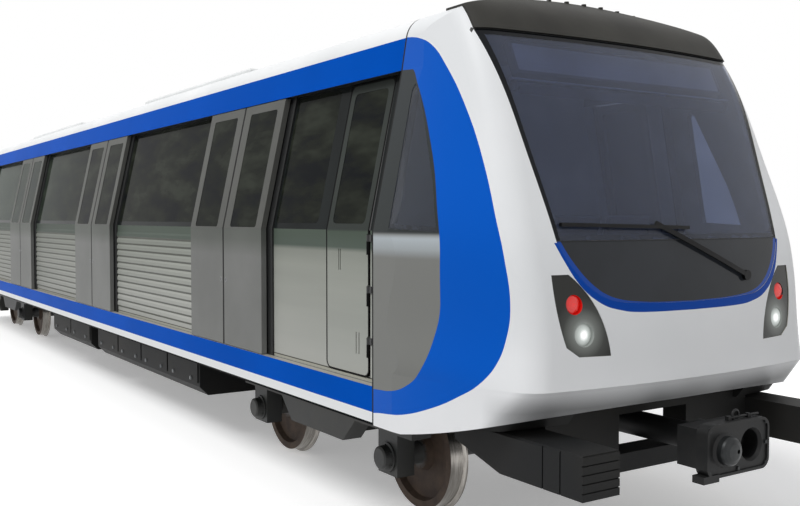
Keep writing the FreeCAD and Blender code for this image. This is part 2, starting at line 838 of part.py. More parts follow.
def door_leaf(y_start, y_end, meets_rear):
    """Left-hand leaf with its window pane, its two hangers and two guide shoes."""
    depth_in = door_leaf_setback + door_leaf_thickness
    z_low = floor_z + door_clearance
    z_high = head_z - door_clearance
    leaf = prism_y(side_band(door_leaf_setback, depth_in, z_low, z_high), y_start, y_end)
    low = waist_z + leaf_window_low
    high = head_z - leaf_window_high
    front = y_start + (leaf_window_outer if meets_rear else leaf_window_meeting)
    rear = y_end - (leaf_window_meeting if meets_rear else leaf_window_outer)
    seal_start = y_end - edge_rubber_width if meets_rear else y_start
    seal = prism_y(side_band(0, door_leaf_setback + edge_rubber_sunk, z_low, z_high), seal_start,
                   seal_start + edge_rubber_width)
    leaf = leaf.cut(seal)
    hole = rounded_block(half_width / 2, half_width + overrun, front, rear, low, high, leaf_window_corner)
    room = rounded_block(half_width / 2, half_width + overrun, front + glass_edge_gap, rear - glass_edge_gap,
                         low + glass_edge_gap, high - glass_edge_gap, leaf_window_corner)
    glass_depth = door_leaf_setback + glass_setback
    glass = prism_y(side_band(glass_depth, glass_depth + glass_thickness, waist_z, z_high), y_start, y_end)
    glass = glass.common(room)
    carriers = []
    for place in (y_start + hanger_margin, y_end - hanger_margin - hanger_length):
        top = side_x(head_z)
        carriers.append(block(top - depth_in, top - door_leaf_setback - door_clearance, place,
                              place + hanger_length, z_high, head_z - seat_gap))
        carriers.append(block(half_width - depth_in, half_width - door_leaf_setback - door_clearance, place,
                              place + hanger_length, floor_z + seat_gap, z_low))
    return fused([leaf.cut(hole)] + carriers), glass


# Cantrails, roof and ceiling
ceiling_drop = 110.0
ceiling_thickness = 20.0
roof_rib_pitch = 170.0
roof_rib_width = 34.0
roof_rib_height = 12.0
roof_ribs_each_side = 5
roof_unit_length = 3300.0
roof_unit_half_width = 760.0
roof_unit_height = 45.0
roof_unit_setback = 3700.0


def cantrail():
    inner_x = side_x(gutter_z) - cantrail_width + cantrail_lean
    section = [(side_x(head_z), head_z), (side_x(gutter_z), gutter_z), (inner_x, gutter_z),
               (inner_x, head_z)]
    return prism_y(section, joint_y, tail_y)


def roof():
    bore = body_prism(roof_thickness, floor_z - overrun, joint_y - overrun, tail_y + overrun)
    shell = body_prism(0, floor_z, joint_y, tail_y).cut(bore)
    above = block(-half_width, half_width, joint_y, tail_y, gutter_z, roof_z + overrun)
    shell = shell.common(above)
    _, _, touch, top = roof_arcs(0)
    ribs = []
    for place in range(-roof_ribs_each_side, roof_ribs_each_side + 1):
        x = place * roof_rib_pitch
        crown_z = top[1] - (top[1] - touch[1]) * (x / touch[0]) ** 2
        base_z = crown_z - roof_thickness / 2
        top_z = crown_z + roof_rib_height
        section = [(x - roof_rib_width / 2, base_z), (x - roof_rib_width / 3, top_z),
                   (x + roof_rib_width / 3, top_z), (x + roof_rib_width / 2, base_z)]
        ribs.append(prism_y(section, joint_y, tail_y))
    whole = fused([shell] + ribs)
    return whole


def roof_units(roof_shape):
    """Low covers of the two air-conditioning units, set over the roof's crown."""
    units = []
    for start in (joint_y + roof_unit_setback, tail_y - roof_unit_setback - roof_unit_length):
        cover = block(-roof_unit_half_width, roof_unit_half_width, start, start + roof_unit_length,
                      roof_z - roof_thickness / 2, roof_z + roof_unit_height)
        edges = [edge for edge in cover.Edges if edge.CenterOfMass.z > roof_z]
        cover = cover.makeChamfer(roof_unit_height / 2, edges)
        units.append(cover.cut(roof_shape).Solids[0])
    return units


def ceiling():
    inner_x = side_x(gutter_z) - cantrail_width + cantrail_lean
    return block(-inner_x, inner_x, joint_y, tail_y - tail_wall_thickness, gutter_z - ceiling_drop,
                 gutter_z - ceiling_drop + ceiling_thickness)


# Rear end: wall with a gangway doorway, folded bellows and the bar that couples the next car
gangway_half = 660.0
gangway_height = 2000.0
bellows_reach = 300.0
bellows_fold_count = 6
bellows_depth = 110.0
bellows_groove = 45.0
drawbar_radius = 75.0
drawbar_eye_radius = 112.5
drawbar_bore_radius = 45.0
drawbar_block = 320.0
coupler_z = 840.0


def rear_end_wall():
    section = body_prism(wall_setback + wall_thickness, floor_z, tail_y - tail_wall_thickness, tail_y)
    full = body_prism(wall_setback, floor_z, tail_y - tail_wall_thickness, tail_y).common(
        block(-half_width, half_width, tail_y - tail_wall_thickness, tail_y, floor_z, head_z))
    upper = section.common(block(-half_width, half_width, tail_y - tail_wall_thickness, tail_y, head_z,
                                 roof_z))
    inner_x = side_x(gutter_z) - cantrail_width + cantrail_lean
    upper = upper.common(block(-inner_x, inner_x, tail_y - tail_wall_thickness, tail_y, head_z, roof_z))
    doorway = block(-gangway_half, gangway_half, tail_y - 2 * tail_wall_thickness,
                    tail_y + tail_wall_thickness, floor_z, floor_z + gangway_height)
    return fused([full, upper]).cut(doorway)


def bellows_ring(y_start, y_end, grow):
    outer = block(-gangway_half - grow, gangway_half + grow, y_start, y_end, floor_z - grow / 2,
                  floor_z + gangway_height + grow)
    inner = block(-gangway_half, gangway_half, y_start - overrun, y_end + overrun, floor_z,
                  floor_z + gangway_height)
    return outer.cut(inner)


def gangway():
    step = bellows_reach / (2 * bellows_fold_count)
    rings = []
    for place in range(2 * bellows_fold_count):
        grow = bellows_depth if place % 2 == 0 else bellows_depth - bellows_groove
        rings.append(bellows_ring(tail_y + place * step, tail_y + (place + 1) * step, grow))
    return fused(rings)


def rear_drawbar():
    end_y = tail_y + rear_reach
    hanger = block(-drawbar_block / 2, drawbar_block / 2, tail_y - 2 * drawbar_block, tail_y - drawbar_block,
                   coupler_z - drawbar_block / 2, underside_z)
    bar = cylinder_y(drawbar_radius, 0, tail_y - 2 * drawbar_block, end_y - drawbar_block / 4, coupler_z)
    eye_y = end_y - drawbar_eye_radius
    eye = cylinder_z(drawbar_eye_radius, 0, eye_y, coupler_z - drawbar_radius, coupler_z + drawbar_radius)
    bore = cylinder_z(drawbar_bore_radius, 0, eye_y, coupler_z - overrun, coupler_z + overrun)
    return fused([hanger, bar, eye]).cut(bore)


# Cab fittings
bulkhead_setback = 905.0
bulkhead_thickness = 45.0
desk_front_share = 0.22
desk_rear_share = 0.62
desk_height = 860.0
desk_lip = 120.0
desk_half_width = 1050.0
seat_x = -330.0
seat_y_share = 0.98
seat_cushion_height = 480.0
seat_width = 480.0
seat_depth = 460.0
seat_cushion_thickness = 100.0
seat_back_height = 700.0
seat_pedestal_radius = 110.0
seat_plate_thickness = 24.0
seat_plate_share = 0.8


def cab_bulkhead():
    start = joint_y + bulkhead_setback - bulkhead_thickness
    top = gutter_z - ceiling_drop
    depth = wall_setback + wall_thickness + seat_gap
    left = [(side_x(z) - depth, z) for z in (floor_z, waist_z, head_z)]
    inner_x = side_x(gutter_z) - cantrail_width + cantrail_lean
    points = left + [(inner_x, head_z), (inner_x, top)]
    points += [(-x, z) for x, z in reversed(points)]
    return prism_y(points, start, start + bulkhead_thickness)


def driver_desk():
    front = nose_y + desk_front_share * cab_length
    rear = nose_y + desk_rear_share * cab_length
    top = floor_z + desk_height
    section = [(front, floor_z), (rear - 2 * desk_lip, floor_z), (rear - 2 * desk_lip, top - 2 * desk_lip),
               (rear, top - desk_lip), (rear, top - desk_lip / 2), (rear - 2 * desk_lip, top), (front, top)]
    body = prism_x(section, -desk_half_width, desk_half_width)
    return body.common(nose_form(shell_thickness + door_clearance))


def driver_seat():
    centre_y = nose_y + seat_y_share * cab_length
    foot = floor_z + seat_cushion_height - seat_cushion_thickness
    back_y = centre_y + seat_depth / 2
    pedestal = cylinder_z(seat_pedestal_radius, seat_x, centre_y, floor_z, foot - seat_plate_thickness)
    plate = block(seat_x - seat_width / 3, seat_x + seat_width / 3, centre_y - seat_depth / 3,
                  back_y + seat_cushion_thickness * seat_plate_share, foot - seat_plate_thickness, foot)
    pedestal = fused([pedestal, plate])
    cushion = block(seat_x - seat_width / 2, seat_x + seat_width / 2, centre_y - seat_depth / 2,
                    centre_y + seat_depth / 2, foot, floor_z + seat_cushion_height)
    cushion = cushion.makeChamfer(seat_cushion_thickness / 4, cushion.Edges)
    section = [(back_y + seat_gap, foot), (back_y + seat_cushion_thickness, foot),
               (back_y + 2 * seat_cushion_thickness, foot + seat_back_height),
               (back_y + seat_cushion_thickness, foot + seat_back_height)]
    back = prism_x(section, seat_x - seat_width / 2, seat_x + seat_width / 2)
    back = back.makeChamfer(seat_cushion_thickness / 4, back.Edges)
    return pedestal, cushion, back


# Saloon fittings
bench_depth = 430.0
bench_height = 440.0
bench_thickness = 60.0
bench_back_height = 420.0
bench_back_thickness = 45.0
bench_end_margin = 120.0
bench_leg_width = 60.0
pole_radius = 17.0
pole_inset = 70.0


def bench(start, end):
    """Left-hand longitudinal bench: seat, back against the wall and a leg at each end."""
    wall_x = half_width - wall_setback - wall_thickness
    front_x = wall_x - bench_depth
    top = floor_z + bench_height
    section = [(wall_x, top - bench_thickness), (wall_x, top + bench_back_height),
               (wall_x - bench_back_thickness, top + bench_back_height),
               (wall_x - bench_back_thickness * 2, top), (front_x, top), (front_x, top - bench_thickness)]
    seat = prism_y(section, start, end)
    legs = []
    for place in (start, end - bench_leg_width):
        legs.append(block(front_x + bench_leg_width, wall_x, place, place + bench_leg_width, floor_z,
                          top - bench_thickness))
    return fused([seat] + legs)


def saloon_seats():
    benches = []
    for start, end in wall_bays()[1:doors_per_side]:
        benches.append(bench(start + bench_end_margin, end - bench_end_margin))
    return benches


def grab_poles():
    poles = []
    x = half_width - wall_setback - wall_thickness - bench_depth - pole_inset
    for start, end in wall_bays()[1:doors_per_side]:
        for y in (start + bench_end_margin, end - bench_end_margin):
            poles.append(cylinder_z(pole_radius, x, y, floor_z, gutter_z - ceiling_drop))
    return poles


# Underfloor equipment, hung from the floor slab between the bogies
equipment_half_width = 1330.0
equipment_depth = 520.0
equipment_chamfer = 90.0
equipment_start_share = 0.27
equipment_end_share = 0.73
converter_share = 0.42
battery_share = 0.24
equipment_gap_share = 0.04
tank_radius = 170.0
tank_length = 1300.0
tank_dome = 80.0
tank_spread_share = 2.5
strap_reach_share = 0.8
strap_width = 50.0


def equipment_box(y_start, y_end):
    low = underside_z - equipment_depth
    section = [(equipment_half_width, underside_z), (equipment_half_width, low + equipment_chamfer),
               (equipment_half_width - equipment_chamfer, low),
               (-equipment_half_width + equipment_chamfer, low),
               (-equipment_half_width, low + equipment_chamfer), (-equipment_half_width, underside_z)]
    return prism_y(section, y_start, y_end)


def equipment_places():
    start = nose_y + equipment_start_share * body_length
    total = (equipment_end_share - equipment_start_share) * body_length
    converter_end = start + converter_share * total
    battery_start = converter_end + equipment_gap_share * total
    battery_end = battery_start + battery_share * total
    tank_start = battery_end + equipment_gap_share * total
    return start, converter_end, battery_start, battery_end, tank_start


def air_tanks():
    start = equipment_places()[4]
    tanks = []
    low = underside_z - tank_radius - strap_width
    for x in (-tank_spread_share * tank_radius, tank_spread_share * tank_radius):
        middle = start + tank_length / 2
        foot = V(x, middle, low)
        tank = fused([domed(tank_radius, tank_length / 2, tank_dome, foot, V(0, way, 0)) for way in (-1, 1)])
        straps = []
        for y in (start + tank_length / 4, start + tank_length * 3 / 4 - strap_width):
            straps.append(block(x - tank_radius * strap_reach_share, x + tank_radius * strap_reach_share, y,
                                y + strap_width, low, underside_z))
        tanks.append(fused([tank] + straps))
    return tanks


# Anticlimbers under the nose: beams with ridged fronts, carried by the floor slab, and between them
# the headstock, whose window leaves the coupler's tube room to swing
anticlimber_in = 950.0
anticlimber_width = 280.0
anticlimber_reach = 250.0
anticlimber_length = 900.0
anticlimber_z = 690.0
anticlimber_height = 250.0
anticlimber_ridges = 5
anticlimber_edge = 12.0
ridge_depth = 9.0
ridge_land_share = 0.84
side_groove_width = 10.0
side_groove_depth = 7.0
side_groove_shares = [0.150, 0.275]
headstock_rear = 560.0
headstock_thickness = 200.0
headstock_z = 580.0
headstock_sill = 120.0
headstock_window_half = 320.0


def anticlimber():
    front = nose_y - anticlimber_reach
    rear = nose_y + anticlimber_length
    post_y = nose_y + anticlimber_length / 2
    top = anticlimber_z + anticlimber_height
    outer = anticlimber_in + anticlimber_width
    points = [(front, anticlimber_z), (front, top), (rear, top),
              (rear, anticlimber_z + anticlimber_height / 2), (post_y, anticlimber_z)]
    beam = prism_x(points, anticlimber_in, outer)
    ledge = [edge for edge in beam.Edges
             if edge.BoundBox.ZMin > top - seat_gap and edge.BoundBox.XMin > outer - seat_gap]
    beam = beam.makeChamfer(anticlimber_edge, ledge)
    cuts = []
    pitch = anticlimber_height / anticlimber_ridges
    for ridge in range(anticlimber_ridges):
        base = anticlimber_z + (ridge + ridge_land_share) * pitch
        cuts.append(block(anticlimber_in - ridge_depth, outer + ridge_depth, front - ridge_depth,
                          front + ridge_depth, base, base + (1 - ridge_land_share) * pitch))
    for share in side_groove_shares:
        groove_y = front + share * (rear - front)
        cuts.append(block(outer - side_groove_depth, outer + side_groove_depth, groove_y,
                          groove_y + side_groove_width, anticlimber_z - anticlimber_edge,
                          top + anticlimber_edge))
    post = block(anticlimber_in, outer, post_y, rear, top, underside_z)
    return fused([beam.cut(cuts), post])


def headstock():
    rear = nose_y + headstock_rear
    front = rear - headstock_thickness
    beam = block(-anticlimber_in, anticlimber_in, front, rear, headstock_z, underside_z)
    window = block(-headstock_window_half, headstock_window_half, front - overrun, rear + overrun,
                   headstock_z + headstock_sill, underside_z)
    return beam.cut(window)


# Coupler: head with a cone and a cup, tube shank and an eye that swings on a pin under the floor
coupler_pivot_setback = 1000.0
coupler_pin_radius = 60.0
coupler_eye_radius = 130.0
coupler_eye_height = 190.0
coupler_fork_plate = 45.0
coupler_fork_half = 169.0
coupler_fork_room = 26.0
shank_radius = 85.0
shank_flange_radius = 120.0
shank_flange_length = 45.0
head_half_width = 290.0
head_height = 320.0
head_depth = 250.0
head_plate_depth = 75.0
head_corner = 70.0
head_body_half = 248.0
head_body_height = 240.0
head_rim_width = 18.0
head_rim_height = 10.0
face_setback = 80.0
cone_offset = 128.0
cone_base_radius = 104.0
cone_base_length = 14.0
cone_radius = 88.0
cone_dome = 34.0
cone_pilot_radius = 13.0
cone_pilot_offset = 34.0
cup_gap = 2.0
cup_mouth_radius = 104.0
cup_mouth_depth = 20.0
cup_depth = 120.0
lip_length = 110.0
lip_overhang = 30.0
lip_height = 44.0
lever_radius = 8.0
lever_start = -60.0
lever_end = 235.0
lever_lug = 26.0
ring_radius = 30.0
ring_sides = 8
ring_x = 20.0


def head_plate(y_start, y_end, margin):
    """Plate with the coupler face's rounded outline, drawn in by a margin."""
    half = head_half_width - margin
    tall = head_height / 2 - margin
    plate = block(-half, half, y_start, y_end, coupler_z - tall, coupler_z + tall)
    corners = [edge for edge in plate.Edges if abs(edge.tangentAt(edge.FirstParameter).y) > along_share]
    return plate.makeFillet(head_corner - margin, corners)


def uncoupling_lever(face_y):
    """Rod in two lugs on top of the head, with a pull ring."""
    top = coupler_z + head_height / 2
    y = face_y + head_plate_depth / 2
    rod = cylinder_x(lever_radius, lever_start, lever_end, y, top + lever_lug / 2)
    lugs = []
    for x in (lever_start, (lever_end + ring_x) / 2):
        lugs.append(block(x, x + lever_lug, y - lever_lug / 2, y + lever_lug / 2, top - lever_radius,
                          top + lever_lug))
    centre = V(ring_x, y, top + ring_radius - lever_radius / 2)
    points = []
    for place in range(ring_sides):
        turn = 2 * math.pi * place / ring_sides
        reach = ring_radius + lever_radius * math.cos(turn)
        points.append(centre + V(reach, lever_radius * math.sin(turn), 0))
    ring = Part.Face(polygon(points)).revolve(centre, V(0, 1, 0), 360)
    return [rod, ring] + lugs


def coupler():
    pivot_y = nose_y + coupler_pivot_setback
    face_y = nose_y - coupler_reach + face_setback
    body_y = face_y + head_plate_depth
    rear_y = face_y + head_depth
    plate = head_plate(face_y, body_y, 0)
    inner = head_plate(face_y - overrun, face_y + overrun, head_rim_width)
    rim = head_plate(face_y - head_rim_height, face_y, 0).cut(inner)
    body = block(-head_body_half, head_body_half, body_y, rear_y, coupler_z - head_body_height / 2,
                 coupler_z + head_body_height / 2)
    low = coupler_z - head_height / 2
    lip = block(-head_half_width - lip_overhang, -head_half_width + lip_length, face_y - head_rim_height,
                body_y, low - lip_height / 2, low + lip_height / 2)
    cone_foot = V(-cone_offset, face_y, coupler_z)
    collar = Part.makeCone(cone_base_radius, cone_radius, cone_base_length, cone_foot, V(0, -1, 0))
    boss = domed(cone_radius, face_setback, cone_dome, cone_foot, V(0, -1, 0))
    pilot = cylinder_y(cone_pilot_radius, -cone_offset + cone_pilot_offset, face_y - overrun, face_y,
                       coupler_z)
    shank = cylinder_y(shank_radius, 0, rear_y - shank_flange_length, pivot_y, coupler_z)
    flange = cylinder_y(shank_flange_radius, 0, rear_y, rear_y + shank_flange_length, coupler_z)
    eye = cylinder_z(coupler_eye_radius, 0, pivot_y, coupler_z - coupler_eye_height / 2,
                     coupler_z + coupler_eye_height / 2)
    head = [plate, rim, body, lip, collar, boss.cut(pilot)]
    whole = fused(head + [flange, shank, eye] + uncoupling_lever(face_y))
    cup = cylinder_y(cone_radius + cup_gap, cone_offset, face_y, face_y + cup_depth, coupler_z)
    mouth = Part.makeCone(cup_mouth_radius, cone_radius + cup_gap, cup_mouth_depth,
                          V(cone_offset, face_y, coupler_z), V(0, 1, 0))
    bore = cylinder_z(coupler_pin_radius + pin_gap, 0, pivot_y, coupler_z - overrun, coupler_z + overrun)
    return whole.cut(cup).cut(mouth).cut(bore)


def coupler_mount():
    """Fork that hangs from the floor slab, with the pin that the coupler's eye turns on."""
    pivot_y = nose_y + coupler_pivot_setback
    half = coupler_fork_half
    low = coupler_z - coupler_eye_height / 2 - seat_gap
    high = coupler_z + coupler_eye_height / 2 + seat_gap
    back_y = pivot_y + coupler_eye_radius + coupler_fork_room
    upper = block(-half, half, pivot_y - half, back_y + half, high, underside_z)
    lower = block(-half, half, pivot_y - half, back_y + half, low - coupler_fork_plate, low)
    back = block(-half, half, back_y, back_y + half, low, high)
    pin = cylinder_z(coupler_pin_radius, 0, pivot_y, low - coupler_fork_plate, high)
    return fused([upper, lower, back, pin])


# Bogies: outside frame with a dropped middle, bolster, air springs, motors and axle boxes
beam_x = 1010.0
beam_width = 170.0
beam_depth = 170.0
beam_drop = 190.0
beam_end_rise = 270.0
beam_overhang = 330.0
transom_half = 260.0
air_spring_radius = 255.0
spring_base_share = 0.70
spring_top_share = 0.85
spring_bag_shares = [(0.80, 0.25), (0.94, 0.29), (1.0, 0.40), (1.0, 0.70), (0.94, 0.82), (0.80, 0.88)]
air_spring_x = 960.0
axle_radius = 85.0
hub_radius = 127.5
flange_root_share = 2.4
flange_crown_share = 1.5
journal_radius = 65.0
axle_box_half = 130.0
axle_box_width = 150.0
axle_end_reach = 60.0
motor_radius = 220.0
motor_half_length = 330.0
motor_setback = 470.0
motor_rise = 70.0
gear_case_width = 170.0
gear_case_radius = 250.0


def bogie_frame(centre_y):
    """Welded frame: two side beams with dropped middles, a cross transom and four axle boxes."""
    half = wheelbase / 2
    end = half + beam_overhang
    beam_z = axle_z + beam_end_rise
    low_z = beam_z - beam_drop
    drop_y = transom_half + beam_drop
    section = [(-end, beam_z - beam_depth / 2), (-drop_y - beam_drop, beam_z - beam_depth / 2),
               (-drop_y, low_z - beam_depth / 2), (drop_y, low_z - beam_depth / 2),
               (drop_y + beam_drop, beam_z - beam_depth / 2), (end, beam_z - beam_depth / 2),
               (end, beam_z + beam_depth / 2), (drop_y + beam_drop, beam_z + beam_depth / 2),
               (drop_y, low_z + beam_depth), (-drop_y, low_z + beam_depth),
               (-drop_y - beam_drop, beam_z + beam_depth / 2), (-end, beam_z + beam_depth / 2)]
    points = [(centre_y + y, z) for y, z in section]
    beams = [prism_x(points, side * beam_x - beam_width / 2, side * beam_x + beam_width / 2)
             for side in (-1, 1)]
    transom = block(-beam_x, beam_x, centre_y - transom_half, centre_y + transom_half,
                    low_z - beam_depth / 2, low_z + beam_depth)
    boxes = []
    for side in (-1, 1):
        for place in (-half, half):
            y = centre_y + place
            boxes.append(block(side * beam_x - axle_box_width / 2, side * beam_x + axle_box_width / 2,
                               y - axle_box_half, y + axle_box_half, axle_z - axle_box_half,
                               beam_z - beam_depth / 2))
    frame = fused(beams + [transom] + boxes)
    for place in (-half, half):
        frame = frame.cut(cylinder_x(journal_radius + pin_gap, -beam_x - overrun, beam_x + overrun,
                                     centre_y + place, axle_z))
    hole = cylinder_z(pivot_radius + pin_gap, 0, centre_y, axle_z - overrun, underside_z)
    return frame.cut(hole)


def transom_top():
    return axle_z + beam_end_rise - beam_drop + beam_depth


def air_springs(centre_y):
    """Rolling-lobe air spring over each end of the transom, up to the floor slab."""
    springs = []
    low = transom_top()
    height = underside_z - seat_gap - low
    outline_points = [(0, 0), (spring_base_share, 0), (spring_base_share, spring_bag_shares[0][1])]
    outline_points += spring_bag_shares
    outline_points += [(spring_top_share, spring_bag_shares[-1][1]), (spring_top_share, 1), (0, 1)]
    for side in (-1, 1):
        x = side * air_spring_x
        points = [V(x + reach * air_spring_radius, centre_y, low + rise * height)
                  for reach, rise in outline_points]
        springs.append(Part.Face(polygon(points)).revolve(V(x, centre_y, low), V(0, 0, 1), 360))
    return springs


def motors(centre_y):
    """Plain traction motors slung from the transom, each with a gear case round its axle."""
    pieces = []
    for side in (-1, 1):
        axle_y = centre_y + side * wheelbase / 2
        motor_y = axle_y - side * motor_setback
        z = axle_z + motor_rise
        case_x = motor_half_length
        motor = cylinder_x(motor_radius, -motor_half_length, case_x, motor_y, z)
        case = block(case_x, case_x + gear_case_width, min(axle_y, motor_y), max(axle_y, motor_y),
                     axle_z - gear_case_radius / 2, z + gear_case_radius / 2)
        round_end = cylinder_x(gear_case_radius, case_x, case_x + gear_case_width, axle_y, axle_z)
        near_y = centre_y + side * transom_half
        hanger = block(-motor_half_length / 2, motor_half_length / 2, min(near_y, motor_y),
                       max(near_y, motor_y), z - beam_depth / 2, z + beam_depth / 4)
        whole = fused([motor, case, round_end, hanger])
        axle_room = cylinder_x(axle_radius + door_clearance, -overrun, 2 * overrun, axle_y, axle_z)
        pieces.append(whole.cut(axle_room))
    return pieces


def wheelset(axle_y):
    """Axle with both wheels, turned about the axle's line."""
    end_x = beam_x + axle_box_width / 2 + axle_end_reach
    collar_x = beam_x - axle_box_width / 2 - axle_end_reach / 2
    back = wheel_back_half_gap
    face = back + wheel_width
    hub = hub_radius
    rim = wheel_radius - wheel_width / 2
    web = wheel_width / 8
    web_x = (back + face) / 2
    seat_x_in = back - wheel_width / 5
    tread_step = flange_height / 2
    profile = [(0, 0), (0, axle_radius), (seat_x_in, axle_radius), (seat_x_in, hub),
               (web_x - web, hub + web), (web_x - web, rim - web), (back, rim),
               (back, wheel_radius + flange_height - tread_step),
               (back + tread_step / 2, wheel_radius + flange_height),
               (back + tread_step * flange_crown_share, wheel_radius + flange_height),
               (back + tread_step * flange_root_share, wheel_radius), (face, wheel_radius - web / 2),
               (face, rim), (web_x + web, rim - web), (web_x + web, hub + web), (face, hub),
               (face, axle_radius),
               (collar_x, axle_radius), (collar_x, journal_radius), (end_x, journal_radius), (end_x, 0)]
    wire = polygon([V(x, axle_y, axle_z + r) for x, r in profile])
    half = Part.Face(wire).revolve(V(0, axle_y, axle_z), V(1, 0, 0), 360)
    return fused([half, mirrored(half)])


save("cab_shell", cab_shell())
save("windscreen", windscreen())
save("front_mask", front_mask())
save("cab_side_windows", *cab_side_windows())
save("roof_visor", roof_visor())
save("headlamps", *headlamps())
save("wiper", wiper())
save("underframe", underframe())
left_sole_bar = sole_bar()
save("sole_bars", left_sole_bar, mirrored(left_sole_bar))
save("bogie_pivots", *bogie_pivots())

left_panels = side_wall()
save("side_wall_left", *left_panels)
save("side_wall_right", *[mirrored(panel) for panel in left_panels])
left_panes = saloon_windows()
save("saloon_windows", *(left_panes + [mirrored(glass) for glass in left_panes]))
left_door = cab_door()
save("cab_door_left", *left_door)
save("cab_door_right", *[mirrored(piece) for piece in left_door])

for number, centre in enumerate(door_centres, start=1):
    inner_edge = door_meeting_gap / 2
    front_leaf = door_leaf(centre - inner_edge - door_leaf_width, centre - inner_edge, True)
    rear_leaf = door_leaf(centre + inner_edge, centre + inner_edge + door_leaf_width, False)
    for place, leaf in (("front", front_leaf), ("rear", rear_leaf)):
        save("door_left_" + str(number) + "_" + place, *leaf)
        save("door_right_" + str(number) + "_" + place, *[mirrored(piece) for piece in leaf])

left_cantrail = cantrail()
save("cantrails", left_cantrail, mirrored(left_cantrail))
roof_shape = roof()
save("roof", roof_shape)
save("roof_units", *roof_units(roof_shape))
save("ceiling", ceiling())
save("rear_end_wall", rear_end_wall())
save("gangway", gangway())
save("rear_drawbar", rear_drawbar())
save("cab_bulkhead", cab_bulkhead())
save("driver_desk", driver_desk())
save("driver_seat", *driver_seat())
left_benches = saloon_seats()
save("saloon_seats", *(left_benches + [mirrored(seat) for seat in left_benches]))
left_poles = grab_poles()
save("grab_poles", *(left_poles + [mirrored(pole) for pole in left_poles]))

places = equipment_places()
save("equipment_boxes", equipment_box(places[0], places[1]), equipment_box(places[2], places[3]))
save("air_tanks", *air_tanks())
left_anticlimber = anticlimber()
save("anticlimbers", left_anticlimber, mirrored(left_anticlimber), headstock())
save("coupler", coupler())
save("coupler_mount", coupler_mount())

for name, centre in (("front", bogie_centres[0]), ("rear", bogie_centres[1])):
    save("bogie_frame_" + name, bogie_frame(centre))
    save("air_springs_" + name, *air_springs(centre))
    save("motors_" + name, *motors(centre))
axles = [centre + side * wheelbase / 2 for centre in bogie_centres for side in (-1, 1)]
for number, axle_y in enumerate(axles, start=1):
    save("wheelset_" + str(number), wheelset(axle_y))
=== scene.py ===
import math

import bmesh
import bpy
from mathutils import Matrix, Vector
from mathutils.bvhtree import BVHTree


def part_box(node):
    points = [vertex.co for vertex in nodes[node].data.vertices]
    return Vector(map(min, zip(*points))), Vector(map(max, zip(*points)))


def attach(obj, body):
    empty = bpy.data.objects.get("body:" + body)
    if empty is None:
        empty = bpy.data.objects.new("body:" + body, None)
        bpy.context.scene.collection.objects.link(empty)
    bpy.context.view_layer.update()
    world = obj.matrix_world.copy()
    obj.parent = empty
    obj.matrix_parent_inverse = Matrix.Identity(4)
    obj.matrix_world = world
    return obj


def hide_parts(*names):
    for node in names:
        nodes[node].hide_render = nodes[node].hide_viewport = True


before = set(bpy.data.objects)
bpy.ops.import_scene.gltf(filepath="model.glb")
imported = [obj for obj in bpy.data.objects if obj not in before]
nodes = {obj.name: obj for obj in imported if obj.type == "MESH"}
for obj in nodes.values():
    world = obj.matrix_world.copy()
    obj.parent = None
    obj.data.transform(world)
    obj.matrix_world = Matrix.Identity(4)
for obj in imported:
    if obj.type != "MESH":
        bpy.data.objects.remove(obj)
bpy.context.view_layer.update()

# Floor slab with headstock, anticlimbers, bogie pivots, coupler fork and rear drawbar: welded steel
# plate and sections that carry everything else. Shot-blasted, primed and sprayed a matt dark grey.


def linear(code):
    """sRGB hex such as "a0b1c2" to linear RGBA."""
    channels = [int(code[place:place + 2], 16) / 255 for place in (0, 2, 4)]
    return tuple(c / 12.92 if c <= 0.04045 else ((c + 0.055) / 1.055) ** 2.4 for c in channels) + (1.0,)


def add_node(tree, kind, inputs=None, stops=None, **settings):
    """Adds a node with its settings, its values and links, and the stops of its ramp or curve."""
    made = tree.nodes.new(kind)
    for name, value in settings.items():
        setattr(made, name, value)
    for name, value in (inputs or {}).items():
        if isinstance(value, bpy.types.NodeSocket):
            tree.links.new(value, made.inputs[name])
        else:
            made.inputs[name].default_value = value
    if stops and kind == "ShaderNodeValToRGB":
        while len(made.color_ramp.elements) < len(stops):
            made.color_ramp.elements.new(0.5)
        for element, (position, colour) in zip(made.color_ramp.elements, stops):
            element.position = position
            element.color = linear(colour)
    elif stops:
        line = made.mapping.curves[0]
        for position, height in stops[1:-1]:
            line.points.new(position, height)
        for point, (position, height) in zip(line.points, stops):
            point.location = (position, height)
            point.handle_type = "AUTO_CLAMPED"
        made.mapping.update()
    return made


def start_material(name, **inputs):
    """New material: itself, its node tree, its shader and its Object coordinates."""
    material = bpy.data.materials.new(name)
    material.use_nodes = True
    tree = material.node_tree
    shader = tree.nodes["Principled BSDF"]
    for key, value in inputs.items():
        shader.inputs[key.replace("_", " ")].default_value = value
    place = add_node(tree, "ShaderNodeTexCoord").outputs["Object"]
    return material, tree, shader, place


